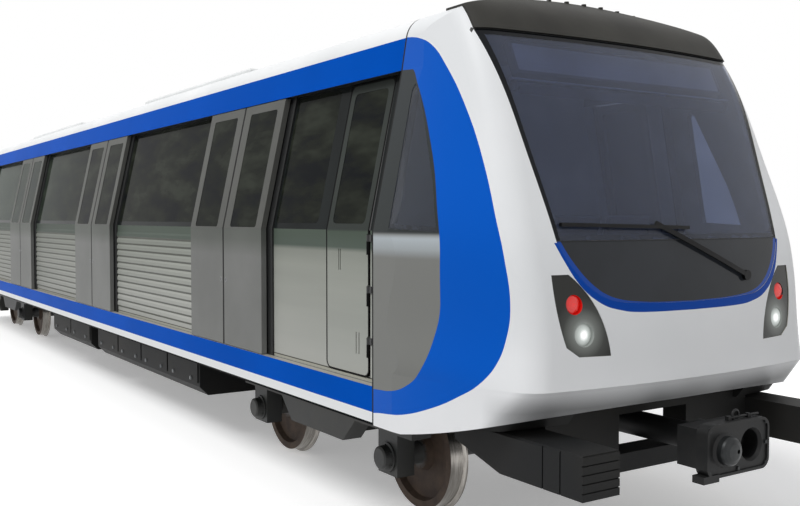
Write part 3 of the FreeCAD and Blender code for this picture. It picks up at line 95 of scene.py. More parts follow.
def coat(name, dark, light, rough=0.4, patch=0.6, grain=0.004, depth=0.0002, stretch=(1, 1, 1), **inputs):
    """Finish whose tone drifts between two close colours, with relief and gloss at the grain's size.

    Patch, grain and depth are sizes in metres; a stretch below 1 draws the pattern out along that axis.
    """
    material, tree, shader, place = start_material(name, **inputs)
    drawn = add_node(tree, "ShaderNodeMapping", {"Vector": place, "Scale": stretch}).outputs["Vector"]
    drift = add_node(tree, "ShaderNodeTexNoise", {"Vector": drawn, "Scale": 1 / patch, "Detail": 6.0})
    tone = add_node(tree, "ShaderNodeValToRGB", {"Fac": drift.outputs["Fac"]}, [(0.36, dark), (0.64, light)])
    tree.links.new(tone.outputs["Color"], shader.inputs["Base Color"])
    grains = add_node(tree, "ShaderNodeTexNoise", {"Vector": drawn, "Scale": 1 / grain, "Detail": 2.0})
    gloss = add_node(tree, "ShaderNodeMapRange", {"Value": grains.outputs["Fac"], "To Min": rough * 0.8,
                                                  "To Max": rough * 1.2})
    tree.links.new(gloss.outputs["Result"], shader.inputs["Roughness"])
    relief = add_node(tree, "ShaderNodeBump", {"Height": grains.outputs["Fac"], "Strength": 0.3,
                                               "Distance": depth})
    tree.links.new(relief.outputs["Normal"], shader.inputs["Normal"])
    return material, tree, shader, place


def dress(name, *materials):
    """Gives a CAD node its materials."""
    slots = nodes[name].data.materials
    slots.clear()
    for material in materials:
        slots.append(material)


def sort_faces(name, rule):
    """Gives each face of a CAD node the material slot that the rule picks from its centre and normal."""
    for face in nodes[name].data.polygons:
        face.material_index = rule(face.center, face.normal)


# Matt alkyd enamel: brake dust lies on it in brownish clouds nearly a metre across. The grit of the
# sprayed film is half a millimetre, too fine to show, and so it is drawn at 3 mm.
frame_paint = coat("matt_underframe_paint", "121314", "1f1e1c", rough=0.62, patch=0.9, grain=0.003,
                   depth=0.0006, Specular_IOR_Level=0.2)[0]
# Rubber flooring: mid grey with lighter specks some 20 mm apart, and a moulded 3 mm pimple.
floor_covering = coat("speckled_rubber_flooring", "55575a", "6a6c6d", rough=0.55, patch=0.02, grain=0.003)[0]
for name in ("bogie_pivots", "coupler_mount", "anticlimbers", "rear_drawbar"):
    dress(name, frame_paint)
dress("underframe", frame_paint, floor_covering)
floor_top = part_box("underframe")[1][2]
sort_faces("underframe", lambda centre, normal: int(normal.z > 0.9 and centre.z > floor_top - 0.001))

# Boxes and air tanks under the floor: folded sheet-steel cabinets hung from the floor slab, with
# lift-off lids held by turn latches, and domed welded tanks in straps, in the underframe's paint.
front_box_end = -0.671
rear_box_start = -0.328
lid_length = 0.72
lid_gap = 0.035
lid_proud = 0.012
lid_foot = 0.125
lid_head = 0.05
latch_rise = 0.16
latch_radius = 0.020
latch_proud = 0.008
tab_proud = 0.028
tab_half_width = 0.006
tab_half_height = 0.018


def finish_piece(name, sheet, body, slot, *materials):
    """Turns a bmesh into a piece that rides on a CAD body."""
    mesh = bpy.data.meshes.new(name)
    sheet.to_mesh(mesh)
    sheet.free()
    for material in materials:
        mesh.materials.append(material)
    piece = bpy.data.objects.new(name, mesh)
    bpy.context.scene.collection.objects.link(piece)
    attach(piece, body)
    return piece


def slab(sheet, low, high, edge=0.0, turn=None):
    """Block between two corners with bevelled edges; turn is a matrix about the block's middle."""
    middle = (Vector(low) + Vector(high)) / 2
    made = bmesh.ops.create_cube(sheet, size=1.0)["verts"]
    bmesh.ops.scale(sheet, vec=Vector(high) - Vector(low), verts=made)
    if edge:
        edges = list({line for vert in made for line in vert.link_edges})
        done = bmesh.ops.bevel(sheet, geom=edges, offset=edge, segments=2, profile=0.5, affect="EDGES",
                               material=-1)
        made = list({vert for face in done["faces"] for vert in face.verts} | {v for v in made if v.is_valid})
    if turn:
        bmesh.ops.transform(sheet, matrix=turn, verts=made)
    bmesh.ops.translate(sheet, vec=middle, verts=made)


def post(sheet, start, end, radius, end_radius=None, sides=16):
    """Round bar, cone or hexagon head from one point to another."""
    start, end = Vector(start), Vector(end)
    run = end - start
    stand = run.to_track_quat("Z", "Y").to_matrix().to_4x4()
    bmesh.ops.create_cone(sheet, cap_ends=True, segments=sides, radius1=radius,
                          radius2=radius if end_radius is None else end_radius, depth=run.length,
                          matrix=Matrix.Translation((start + end) / 2) @ stand)


for name in ("equipment_boxes", "air_tanks"):
    dress(name, frame_paint)
# Zinc plate: a dull silver that clouds over some 50 mm. Its crystals are drawn at 2 mm so that they show.
latch_steel = coat("zinc_plated_steel", "7d8083", "9a9c9d", rough=0.42, patch=0.05, grain=0.002,
                   Metallic=0.9)[0]
box_low, box_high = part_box("equipment_boxes")
lid_places = []
for start, end in ((box_low[1], front_box_end), (rear_box_start, box_high[1])):
    count = int((end - start - lid_gap) // (lid_length + lid_gap))
    pitch = (end - start - lid_gap) / count
    lid_places += [(start + lid_gap + pitch * number, start + pitch * (number + 1))
                   for number in range(count)]
lids = bmesh.new()
latches = bmesh.new()
for side in (-1, 1):
    face_x = side * box_high[0]
    for start, end in lid_places:
        near, far = sorted((face_x, face_x + side * lid_proud))
        slab(lids, (near, start, box_low[2] + lid_foot), (far, end, box_high[2] - lid_head), edge=0.004)
        near, far = sorted((face_x, face_x + side * tab_proud))
        for share in (0.2, 0.8):
            y = start + share * (end - start)
            z = box_low[2] + latch_rise
            post(latches, (face_x, y, z), (face_x + side * (lid_proud + latch_proud), y, z), latch_radius)
            slab(latches, (near, y - tab_half_width, z - tab_half_height),
                 (far, y + tab_half_width, z + tab_half_height), edge=0.002)
finish_piece("equipment_lids", lids, "car_body", "frame_paint", frame_paint)
finish_piece("equipment_latches", latches, "car_body", "frame_paint", latch_steel)

# Bogies: frames welded from bent plate, with cast axle boxes, traction motors and gear cases, and
# rubber air springs on top. Sprayed dark grey; grease and brake dust darken the castings.
axle_box_x = 1.085
spindle_bore = 0.074
cap_radius = 0.098
cap_reach = 0.078
cap_wall = 0.010
flange_size = 0.012
bolt_circle = 0.086
bolt_radius = 0.011
# Enamel on plate: very dark, half matt, stained brown over half a metre, with a 4 mm sprayed stipple.
bogie_paint = coat("bogie_enamel", "1c1e20", "2a2a26", rough=0.55, patch=0.5, grain=0.004, depth=0.0006)[0]
# Enamel on castings: darker still, over a sand-cast skin with 5 mm pimples.
motor_paint = coat("motor_casting_enamel", "1a1c1d", "252625", rough=0.5, patch=0.3, grain=0.005,
                   depth=0.0008)[0]
# Cord-reinforced rubber: a flat dusty black, stained over 200 mm.
spring_rubber = coat("air_spring_rubber", "151515", "1f1f1e", rough=0.7, patch=0.2, grain=0.003)[0]
for name, axles in (("front", ("wheelset_1", "wheelset_2")), ("rear", ("wheelset_3", "wheelset_4"))):
    dress("bogie_frame_" + name, bogie_paint)
    dress("motors_" + name, motor_paint)
    dress("air_springs_" + name, spring_rubber)
    caps = bmesh.new()
    for axle in axles:
        low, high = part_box(axle)
        axle_y, axle_z = (low[1] + high[1]) / 2, (low[2] + high[2]) / 2
        for side in (-1, 1):
            # Turned cover: its outline is spun about the axle, hollow inside, so that the axle clears it.
            cap_end = axle_box_x + cap_reach
            ring = [(axle_box_x, spindle_bore), (axle_box_x, cap_radius + flange_size),
                    (axle_box_x + flange_size, cap_radius + flange_size),
                    (axle_box_x + 0.016, cap_radius - 0.006), (cap_end - 0.010, cap_radius - 0.012),
                    (cap_end, cap_radius - 0.026), (cap_end, 0.0), (cap_end - cap_wall, 0.0),
                    (cap_end - cap_wall, spindle_bore)]
            verts = [caps.verts.new((side * x, axle_y, axle_z + r)) for x, r in ring]
            edges = [caps.edges.new((verts[number - 1], verts[number])) for number in range(len(verts))]
            bmesh.ops.spin(caps, geom=verts + edges, cent=(0, axle_y, axle_z), axis=(1, 0, 0),
                           angle=2 * math.pi, steps=32, use_merge=True)
            for bolt in range(6):
                turn = math.radians(60 * bolt + 30)
                y = axle_y + bolt_circle * math.cos(turn)
                z = axle_z + bolt_circle * math.sin(turn)
                post(caps, (side * (axle_box_x + 0.010), y, z), (side * (axle_box_x + 0.030), y, z),
                     bolt_radius, sides=6)
    bmesh.ops.remove_doubles(caps, verts=caps.verts, dist=0.00001)
    bmesh.ops.recalc_face_normals(caps, faces=caps.faces)
    finish_piece("axle_box_caps_" + name, caps, "bogie_" + name, "cast_steel", bogie_paint)

# Wheelsets: forged wheels pressed on a turned axle. The running faces are ground bright by the
# rails, the discs keep a dull brown oxide, and the axle has a grey primer.
tread_radius = 0.395
axle_radius = 0.10
# Forging oxide: rough rust brown, mottled over 120 mm, with 3 mm pits.
oxide = coat("forged_wheel_oxide", "3b2f28", "55463b", rough=0.75, patch=0.12, grain=0.003, depth=0.0008,
             Metallic=0.2)[0]
# Ground steel: bright, with short grinding lines round the wheel that blur into a satin.
tread = coat("ground_wheel_tread", "8c8883", "b0aca6", rough=0.28, patch=0.05, grain=0.0015,
             stretch=(6, 0.3, 0.3), Metallic=1.0)[0]
# Grey primer: half matt, dirtied over 200 mm.
axle_primer = coat("grey_axle_primer", "4a4c4d", "5b5c5b", rough=0.5, patch=0.2, grain=0.003)[0]
for name in ("wheelset_1", "wheelset_2", "wheelset_3", "wheelset_4"):
    low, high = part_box(name)
    hub = Vector((0, (low[1] + high[1]) / 2, (low[2] + high[2]) / 2))

    def wheel_zone(centre, normal, hub=hub):
        """0 oxide, 1 running face, 2 axle."""
        reach = math.hypot(centre.y - hub.y, centre.z - hub.z)
        if reach > tread_radius and abs(normal.x) < 0.96:
            return 1
        return 2 if reach < axle_radius else 0

    dress(name, oxide, tread, axle_primer)
    sort_faces(name, wheel_zone)

# Coupler: a cast-steel head with its cone and socket, on a forged shank that swings in a fork.
# Nearly black from paint and grease; the cone and the mating face are rubbed a little brighter.
face_y = -9.610
proud_of_face = 0.016
head_bolt_x = 0.262
low_row, middle_row, high_row = 0.712, 0.840, 0.968
shank_z = 0.840
shank_flange_y = -9.320
shank_bolt_circle = 0.104
# Greased casting: almost black, half matt, with a 6 mm sand-cast skin.
coupler_iron = coat("greased_cast_steel", "121314", "1c1c1c", rough=0.5, patch=0.15, grain=0.006,
                    depth=0.0012, Metallic=0.2, Specular_IOR_Level=0.3)[0]
# Rubbed casting: a dark steel sheen where the paint has worn off, over the same skin worn to 4 mm.
rubbed_iron = coat("rubbed_cast_steel", "232526", "2f3132", rough=0.38, patch=0.06, grain=0.004,
                   depth=0.0006, Metallic=0.6)[0]
dress("coupler", coupler_iron, rubbed_iron)
sort_faces("coupler", lambda centre, normal: int(centre.y < face_y - proud_of_face))
bolts = bmesh.new()
for x, z in ((-head_bolt_x, low_row), (head_bolt_x, low_row), (head_bolt_x, high_row),
             (-head_bolt_x, high_row), (0.0, low_row), (head_bolt_x, middle_row)):
    post(bolts, (x, face_y + 0.001, z), (x, face_y - 0.009, z), 0.013, sides=6)
    post(bolts, (x, face_y + 0.001, z), (x, face_y - 0.002, z), 0.017, sides=20)
for number in range(8):
    turn = math.radians(45 * number + 22.5)
    x, z = shank_bolt_circle * math.cos(turn), shank_z + shank_bolt_circle * math.sin(turn)
    post(bolts, (x, shank_flange_y, z), (x, shank_flange_y + 0.023, z), 0.009, sides=6)
finish_piece("coupler_bolts", bolts, "coupler", "cast_steel", rubbed_iron)

# Sole bars: deep pressed-steel sills under the doors, welded along both edges of the floor. Painted
# in bands, blue over white over a black line; an extruded aluminium tread closes the top ledge.
band_black_z = 0.866
band_white_z = 0.936
# Anodised tread: a warm silver-grey, dulled by feet, its fine grooves drawn out along the car.
sill_tread = coat("anodised_sill_tread", "9c9b93", "b4b2aa", rough=0.42, patch=0.3, grain=0.002,
                  stretch=(1, 0.05, 1), Metallic=0.35)[0]
# Gloss enamel: a deep even blue. Its orange peel is 2 mm, and drawn at 6 mm so that it shows.
banded, tree, shader, place = coat("banded_gloss_enamel", "004fb6", "0054c0", rough=0.34, patch=1.5,
                                   grain=0.006, depth=0.0001, Specular_IOR_Level=0.005)
height = add_node(tree, "ShaderNodeSeparateXYZ", {"Vector": place}).outputs["Z"]
tone = shader.inputs["Base Color"].links[0].from_socket
for level, code in ((band_white_z, "eceeef"), (band_black_z, "131415")):
    below = add_node(tree, "ShaderNodeMath", {0: height, 1: level}, operation="LESS_THAN").outputs["Value"]
    tone = add_node(tree, "ShaderNodeMix", {0: below, 6: tone, 7: linear(code)},
                    data_type="RGBA").outputs[2]
tree.links.new(tone, shader.inputs["Base Color"])
dress("sole_bars", banded, sill_tread)
sort_faces("sole_bars", lambda centre, normal: int(normal.z > 0.9))

# Side walls: stainless sheet rolled with shallow ribs between the doors and left smooth beside the
# cab, with a flush black window band above the waist and black pillars next to every door, whose
# black below the waist is painted shade of the gaps beside the leaves.
waist_z = 2.135
head_z = 3.200
door_centres = (-5.413, -1.189, 3.035, 7.259)
leaf_reach = 0.785
post_reach = 0.095
post_lap = 0.035
post_face_x = 1.4835
rib_face_x = 1.4755
hinge_start, hinge_end = -7.83, -7.745
knuckle_x = 1.476
knuckle_y = -7.784


def shade_by_height(tree, shader, place, low, high, stops):
    """Multiplies a finish's colour by a ramp up the car's side, and returns the new colour."""
    height = add_node(tree, "ShaderNodeSeparateXYZ", {"Vector": place}).outputs["Z"]
    rise = add_node(tree, "ShaderNodeMapRange", {"Value": height, "From Min": low, "From Max": high})
    shade = add_node(tree, "ShaderNodeValToRGB", {"Fac": rise.outputs["Result"]}, stops)
    plain = shader.inputs["Base Color"].links[0].from_socket
    shaded = add_node(tree, "ShaderNodeMix", {0: 1.0, 6: plain, 7: shade.outputs["Color"]},
                      data_type="RGBA", blend_type="MULTIPLY").outputs[2]
    tree.links.new(shaded, shader.inputs["Base Color"])
    return shaded


# Rolled stainless: pale and satin, with grit lines along the car, drawn 1.6 mm apart because the real
# ones can't be seen. A painted shade line marks the gap at its foot, and a darker, greener band
# painted along its top, under the black band, stands for a reflection.
steel, tree, shader, place = coat("rolled_stainless_sheet", "a1a39e", "acada8", rough=0.36, patch=0.35,
                                  grain=0.0016, depth=0.0001, stretch=(1, 0.06, 1), Metallic=0.1,
                                  Specular_IOR_Level=0.02)
shaded = shade_by_height(tree, shader, place, 1.1, 2.2, [
    (0.0, "fffdf4"), (0.0262, "fffdf4"), (0.0272, "3c3733"), (0.0310, "3c3733"), (0.0320, "ffffff"),
    (0.70, "e6e8e4"), (0.80, "d6d9d4"), (0.83, "84918a"), (0.94, "7c8a80")])
# Its colour darkens towards the rear.
along = add_node(tree, "ShaderNodeSeparateXYZ", {"Vector": place}).outputs["Y"]
duller = add_node(tree, "ShaderNodeMapRange", {"Value": along, "From Min": -4.5, "From Max": 2.0,
                                               "To Max": 0.28}).outputs["Result"]
rearward_toned = add_node(tree, "ShaderNodeMix", {0: duller, 6: shaded, 7: linear("2a2926")}, data_type="RGBA")
tree.links.new(rearward_toned.outputs[2], shader.inputs["Base Color"])
# Black band: sheet enamelled a smooth, slightly green black, almost as glossy as the panes in it.
black_panel = coat("gloss_black_band", "191c1c", "202424", rough=0.12, patch=0.8, grain=0.01, depth=0.00005,
                   Specular_IOR_Level=0.03)[0]
# Satin black enamel with a 3 mm stipple: the black of the pillars and the rear end, and painted shade
# in the gaps by the doors, at the cab door's hinge, in the lock holes and under the cantrails.
satin_black_and_shade = coat("satin_black_and_painted_shade", "101112", "181919", rough=0.45, patch=0.3, grain=0.003)[0]
# Painted shade under the ribs: the same sheet, matt and a darker grey on the ribs' lower flanks.
rib_underside_shade = coat("stainless_with_painted_rib_shade", "64665f", "737570", rough=0.5, patch=0.35, grain=0.002,
                 depth=0.0001, stretch=(1, 0.06, 1), Metallic=0.1, Specular_IOR_Level=0.05)[0]
# Laminate lining: a warm light grey with a 4 mm moulded texture.
lining = coat("textured_lining_laminate", "b9bab6", "c6c7c3", rough=0.5, patch=0.5, grain=0.004,
              depth=0.0003)[0]


def wall_zone(centre, normal):
    """0 steel, 1 black band, 2 door pillar, or painted shade in the gaps by the doors and at the hinge, 3
    inner lining, 4 painted shade under a rib.
    """
    out = abs(centre.x)
    if normal.x * (1 if centre.x > 0 else -1) < -0.5:
        return 3
    if hinge_start < centre.y < hinge_end and (out > knuckle_x or centre.y > knuckle_y):
        return 2
    if normal.z < -0.3 and out > rib_face_x and centre.z < waist_z - 0.05:
        return 4
    beside = min(abs(centre.y - middle) for middle in door_centres) - leaf_reach
    edge_gap = min(abs(abs(centre.y - middle) - leaf_reach) for middle in door_centres)
    at_post = edge_gap < post_reach and beside > -post_lap
    if abs(normal.y) > 0.9 or (at_post and centre.z > waist_z):
        return 2
    if at_post and centre.z < waist_z and out > post_face_x:
        return 2
    return 1 if centre.z > waist_z else 0


for side in ("left", "right"):
    dress("side_wall_" + side, steel, black_panel, satin_black_and_shade, lining, rib_underside_shade)
    sort_faces("side_wall_" + side, wall_zone)
dress("rear_end_wall", lining, satin_black_and_shade)
sort_faces("rear_end_wall", lambda centre, normal: int(normal.y > 0.9))

# Side windows: laminated safety glass with a dark body tint, bonded flush with the outside. The tint
# leaves the saloon in deep shade, and soft greenish patches painted on the pane stand for a reflection.
# The patches are some 200 mm high and three times as long, and the pane turns a paler grey green
# towards the rear.
side_glass, tree, shader, place = start_material("dark_laminated_glass", Roughness=0.05, IOR=1.25,
                                                 Specular_IOR_Level=0.012, Transmission_Weight=0.18)
lengthwise = add_node(tree, "ShaderNodeMapping", {"Vector": place, "Scale": (1.0, 0.3, 1.0)})
reflection_patches = add_node(tree, "ShaderNodeTexNoise", {"Vector": lengthwise.outputs["Vector"], "Scale": 4.5,
                                               "Detail": 3.0, "Roughness": 0.62})
painted_reflection = add_node(tree, "ShaderNodeValToRGB", {"Fac": reflection_patches.outputs["Fac"]},
                [(0.35, "14171a"), (0.50, "22251f"), (0.66, "343830")])
along = add_node(tree, "ShaderNodeSeparateXYZ", {"Vector": place}).outputs["Y"]
rearward_share = add_node(tree, "ShaderNodeMapRange", {"Value": along, "From Min": -0.5, "From Max": 9.0,
                                              "To Max": 0.62}).outputs["Result"]
rearward_toned = add_node(tree, "ShaderNodeMix", {0: rearward_share, 6: painted_reflection.outputs["Color"], 7: linear("56665a")},
                  data_type="RGBA")
tree.links.new(rearward_toned.outputs[2], shader.inputs["Base Color"])
dress("saloon_windows", side_glass)

# Passenger doors: sixteen plug leaves, aluminium frames filled and sprayed a warm grey, painted darker
# above the waist as shade, with a bonded dark pane, a black rubber nose where two leaves meet and a
# round key lock.
half_gap = 0.003
rubber_reach = 0.0125
pane_start, pane_end = 0.140, 0.667
pane_low = waist_z + 0.008
pane_high = head_z - 0.080
leaf_face_x = 1.545
lock_reach = 0.052
lock_z = 1.68
# Satin door paint: a warm grey with a 4 mm stipple, painted darker upwards as the shade of the cantrail.
leaf_paint, tree, shader, place = coat("satin_door_paint", "747573", "7e7f7d", rough=0.42, patch=0.9,
                                       grain=0.004, depth=0.0001, Specular_IOR_Level=0.05)
shade_by_height(tree, shader, place, 1.9, 2.2,
                [(0.0, "ffffff"), (0.45, "d5d9d4"), (0.72, "cdd2cc"), (0.80, "c9c9c6")])
# Edge rubber: extruded, flat black, dusty over 200 mm.
leaf_rubber = coat("black_edge_rubber", "141414", "1e1e1d", rough=0.75, patch=0.2, grain=0.003)[0]
# Lock steel: turned stainless with a satin face.
lock_steel = coat("satin_stainless_lock", "6f7071", "8b8c8c", rough=0.35, patch=0.02, grain=0.001,
                  Metallic=0.9)[0]
for side_name, side in (("left", 1), ("right", -1)):
    for number, middle in enumerate(door_centres, start=1):
        for leaf, way in (("front", -1), ("rear", 1)):
            name = "door_%s_%d_%s" % (side_name, number, leaf)
            meeting = middle + way * half_gap
            near, far = sorted((meeting + way * pane_start, meeting + way * pane_end))

            def leaf_zone(centre, normal, near=near, far=far, meeting=meeting):
                """0 paint, 1 pane, 2 rubber."""
                if abs(centre.y - meeting) < rubber_reach:
                    return 2
                return int(near < centre.y < far and pane_low < centre.z < pane_high and abs(normal.x) > 0.9)

            dress(name, leaf_paint, side_glass, leaf_rubber)
            sort_faces(name, leaf_zone)
            # Key lock: a turned rose with a round drive hole sunk into it, pressed into the leaf. The hole is
            # painted black as shade.
            lock = bmesh.new()
            face_x = side * leaf_face_x
            y = meeting + way * lock_reach
            post(lock, (face_x - side * 0.004, y, lock_z), (face_x + side * 0.0035, y, lock_z), 0.024, 0.021,
                 sides=28)
            rose = max(lock.faces, key=lambda face: face.calc_center_median().x * side)
            bmesh.ops.inset_individual(lock, faces=[rose], thickness=0.009)
            bmesh.ops.inset_individual(lock, faces=[rose], thickness=0.001, depth=-0.005)
            rose.material_index = 1
            finish_piece(name + "_lock", lock, name, "pole_steel", lock_steel, satin_black_and_shade)

# Cab doors: one hinged door a side, a smooth stainless-faced leaf with a bonded dark window, a pull
# handle in a pocket, two slots lower down, and a black rubber seal all round.
door_start, door_end = -7.759, -7.169
door_foot, door_top = 1.131, 3.190
door_corner = 0.060
seal_width = 0.011
window_margin = 0.070
door_pane_low, door_pane_high = 2.185, 3.115
# Brushed sheet: a shade lighter than the walls, with the same grit lines, drawn at 1.6 mm so that they
# show. A darker, greener band painted along its top stands for a reflection, and the seal is a dead
# black line round it.
door_sheet, tree, shader, place = coat("brushed_door_sheet", "a6a8a3", "b1b2ad", rough=0.38, patch=0.4,
                                       grain=0.0016, depth=0.0001, stretch=(1, 0.06, 1), Metallic=0.1,
                                       Specular_IOR_Level=0.02)
shaded = shade_by_height(tree, shader, place, 1.1, 2.2, [
    (0.0, "ffffff"), (0.70, "e6e8e4"), (0.80, "d6d9d4"), (0.83, "84918a"), (0.93, "7c8a80"),
    (0.945, "5d6261")])
# The distance outwards from a line one corner radius inside the leaf's edge marks out the seal.
split = add_node(tree, "ShaderNodeSeparateXYZ", {"Vector": place})
outwards = []
for axis, near, far in (("Y", door_start, door_end), ("Z", door_foot, door_top)):
    shifted = add_node(tree, "ShaderNodeMath", {0: split.outputs[axis], 1: (near + far) / 2},
                       operation="SUBTRACT").outputs["Value"]
    folded = add_node(tree, "ShaderNodeMath", {0: shifted}, operation="ABSOLUTE").outputs["Value"]
    past = add_node(tree, "ShaderNodeMath", {0: folded, 1: (far - near) / 2 - door_corner},
                    operation="SUBTRACT").outputs["Value"]
    outwards.append(add_node(tree, "ShaderNodeMath", {0: past, 1: 0.0}, operation="MAXIMUM").outputs["Value"])
corner = add_node(tree, "ShaderNodeCombineXYZ", {"X": outwards[0], "Y": outwards[1]}).outputs["Vector"]
reach = add_node(tree, "ShaderNodeVectorMath", {0: corner}, operation="LENGTH").outputs["Value"]
sealed = add_node(tree, "ShaderNodeMath", {0: reach, 1: door_corner - seal_width},
                  operation="GREATER_THAN").outputs["Value"]
edged = add_node(tree, "ShaderNodeMix", {0: sealed, 6: shaded, 7: linear("141414")}, data_type="RGBA")
tree.links.new(edged.outputs[2], shader.inputs["Base Color"])


def cab_door_zone(centre, normal):
    """0 sheet, 1 pane."""
    in_length = door_start + window_margin < centre.y < door_end - window_margin
    return int(in_length and door_pane_low < centre.z < door_pane_high and abs(normal.x) > 0.9)


for side in ("left", "right"):
    dress("cab_door_" + side, door_sheet, side_glass)
    sort_faces("cab_door_" + side, cab_door_zone)

# Cantrails and roof: the cantrails are rolled blue-enamelled sections over the doors; the roof is
# white-enamelled sheet with pressed lengthwise ribs, and the two low covers hide the cooling units.
roof_heart_z = 2.2
# Gloss enamel: the sole bars' blue, with its orange peel again drawn at 6 mm.
cantrail_blue = coat("blue_gloss_enamel", "004fb6", "0054c0", rough=0.34, patch=1.5, grain=0.006,
                     depth=0.0001, Specular_IOR_Level=0.005)[0]
# Roof enamel: clean white, half gloss, greyed in drifts over a metre long by rain.
roof_white = coat("white_roof_enamel", "e6e8e9", "f0f1f2", rough=0.36, patch=1.2, grain=0.006,
                  depth=0.0002, Specular_IOR_Level=0.15)[0]
# Roof coating: a matt light grey with a 4 mm stipple.
cover_grey = coat("light_grey_roof_coating", "e0e2e2", "e8eaea", rough=0.5, patch=0.8, grain=0.004,
                  depth=0.0004)[0]
dress("cantrails", cantrail_blue, satin_black_and_shade)
# The cantrails' undersides are painted black as shade, and their inner faces are black too.
sort_faces("cantrails", lambda centre, normal: int(normal.z < -0.9 or normal.x * centre.x < 0))
dress("roof", roof_white, lining)
sort_faces("roof", lambda centre, normal: int(normal.dot(Vector((centre.x, 0, centre.z - roof_heart_z))) < 0))
dress("roof_units", cover_grey)
dress("ceiling", lining)
dress("cab_bulkhead", lining)

# Cab shell: one glass-fibre moulding bolted to the end of the body, filled and sprayed gloss white
# with a blue sweep down each cheek, grey behind it round the side window, and a blue line under the
# mask. The last 16 mm at the joint to the body is a black sealant.
nose_y = -9.310
joint_reach = 1.386
sealant_width = 0.016
trim_reach = 0.6
trim_top = 2.075
trim_half_width = 1.048
shell_heart = Vector((0, -7.95, 2.25))
glazing_low = 2.05
glue_depth = 0.05
sill_half_width = 1.045
sill_end_y = -8.9
lintel_low, lintel_high = 3.370, 3.402
lintel_half_width = 1.20
lintel_end_y = -8.50
# Outlines of the sweep as (height, distance behind the nose) in metres, front edge and rear edge.
sweep_front = [(0.850, 1.60), (0.929, 1.388), (0.973, 1.060), (1.042, 0.824), (1.148, 0.588),
               (1.277, 0.397), (1.387, 0.321), (1.518, 0.281), (1.693, 0.259), (1.978, 0.296),
               (2.236, 0.376), (2.532, 0.499), (2.906, 0.706), (3.169, 0.907), (3.325, 1.071),
               (3.402, 1.252), (3.431, 1.421), (3.500, 1.60)]
sweep_rear = [(1.080, 1.60), (1.092, 1.390), (1.104, 1.204), (1.156, 1.022), (1.269, 0.878),
              (1.477, 0.772), (1.724, 0.720), (1.966, 0.720), (2.329, 0.791), (2.706, 0.941),
              (3.111, 1.174), (3.192, 1.244), (3.202, 1.390), (3.230, 1.60)]
# Lower edge of the line under the mask as (distance from the middle, height) in metres.
trim_line = [(0.0, 1.645), (0.447, 1.651), (0.609, 1.668), (0.781, 1.724), (0.919, 1.841),
             (1.000, 1.975), (1.040, 2.060), (1.100, 2.200)]


def folded_place(tree, place):
    """Distance from the car's middle plane, place along the car and height above the floor."""
    split = add_node(tree, "ShaderNodeSeparateXYZ", {"Vector": place}).outputs
    across = add_node(tree, "ShaderNodeMath", {0: split["X"]}, operation="ABSOLUTE").outputs["Value"]
    return across, split["Y"], split["Z"]


def past_line(tree, points, along, value, low, span, reach):
    """1 where the value is beyond a line through measured points.

    The points start near low and cover the span; reach is more than any value on the line.
    """
    scaled = add_node(tree, "ShaderNodeMapRange", {"Value": along, "From Min": low, "From Max": low + span})
    stops = [((at - low) / span, to / reach) for at, to in points]
    stops = [(0.0, stops[0][1])] + [stop for stop in stops if 0 < stop[0] < 1] + [(1.0, stops[-1][1])]
    line = add_node(tree, "ShaderNodeFloatCurve", {"Value": scaled.outputs["Result"]}, stops)
    level = add_node(tree, "ShaderNodeMath", {0: line.outputs["Value"], 1: reach}, operation="MULTIPLY")
    return add_node(tree, "ShaderNodeMath", {0: value, 1: level.outputs["Value"]},
                    operation="GREATER_THAN").outputs["Value"]


# Two-pack paint: a hard clean gloss. Its orange peel is 2 mm, and drawn at 8 mm so that it shows.
shell_paint, tree, shader, place = coat("gloss_two_pack_paint", "e6e8ea", "eeeff1", rough=0.3, patch=1.5,
                                        grain=0.008, depth=0.0001, Specular_IOR_Level=0.08)
across, along, height = folded_place(tree, place)
behind = add_node(tree, "ShaderNodeMath", {0: along, 1: nose_y}, operation="SUBTRACT").outputs["Value"]
in_sweep = past_line(tree, sweep_front, height, behind, low=0.85, span=2.7, reach=1.7)
in_grey = past_line(tree, sweep_rear, height, behind, low=0.85, span=2.7, reach=1.7)
in_trim = past_line(tree, trim_line, across, height, low=0.0, span=1.1, reach=2.4)
for measure, limit in ((behind, trim_reach), (height, trim_top), (across, trim_half_width)):
    within = add_node(tree, "ShaderNodeMath", {0: measure, 1: limit}, operation="LESS_THAN").outputs["Value"]
    in_trim = add_node(tree, "ShaderNodeMath", {0: in_trim, 1: within}, operation="MULTIPLY").outputs["Value"]
at_joint = add_node(tree, "ShaderNodeMath", {0: behind, 1: joint_reach - sealant_width},
                    operation="GREATER_THAN").outputs["Value"]
# The grey carries a painted highlight along a band just under the side window's sill, and is nearly black
# above the sill.
rise = add_node(tree, "ShaderNodeMapRange", {"Value": height, "From Min": 1.0, "From Max": 3.3})
grey = add_node(tree, "ShaderNodeValToRGB", {"Fac": rise.outputs["Result"]}, [
    (0.0, "7d7e7b"), (0.42, "7f807d"), (0.445, "a2a8ab"), (0.475, "b2babf"), (0.484, "8b8e8e"),
    (0.490, "333737"), (1.0, "3b3f41")])
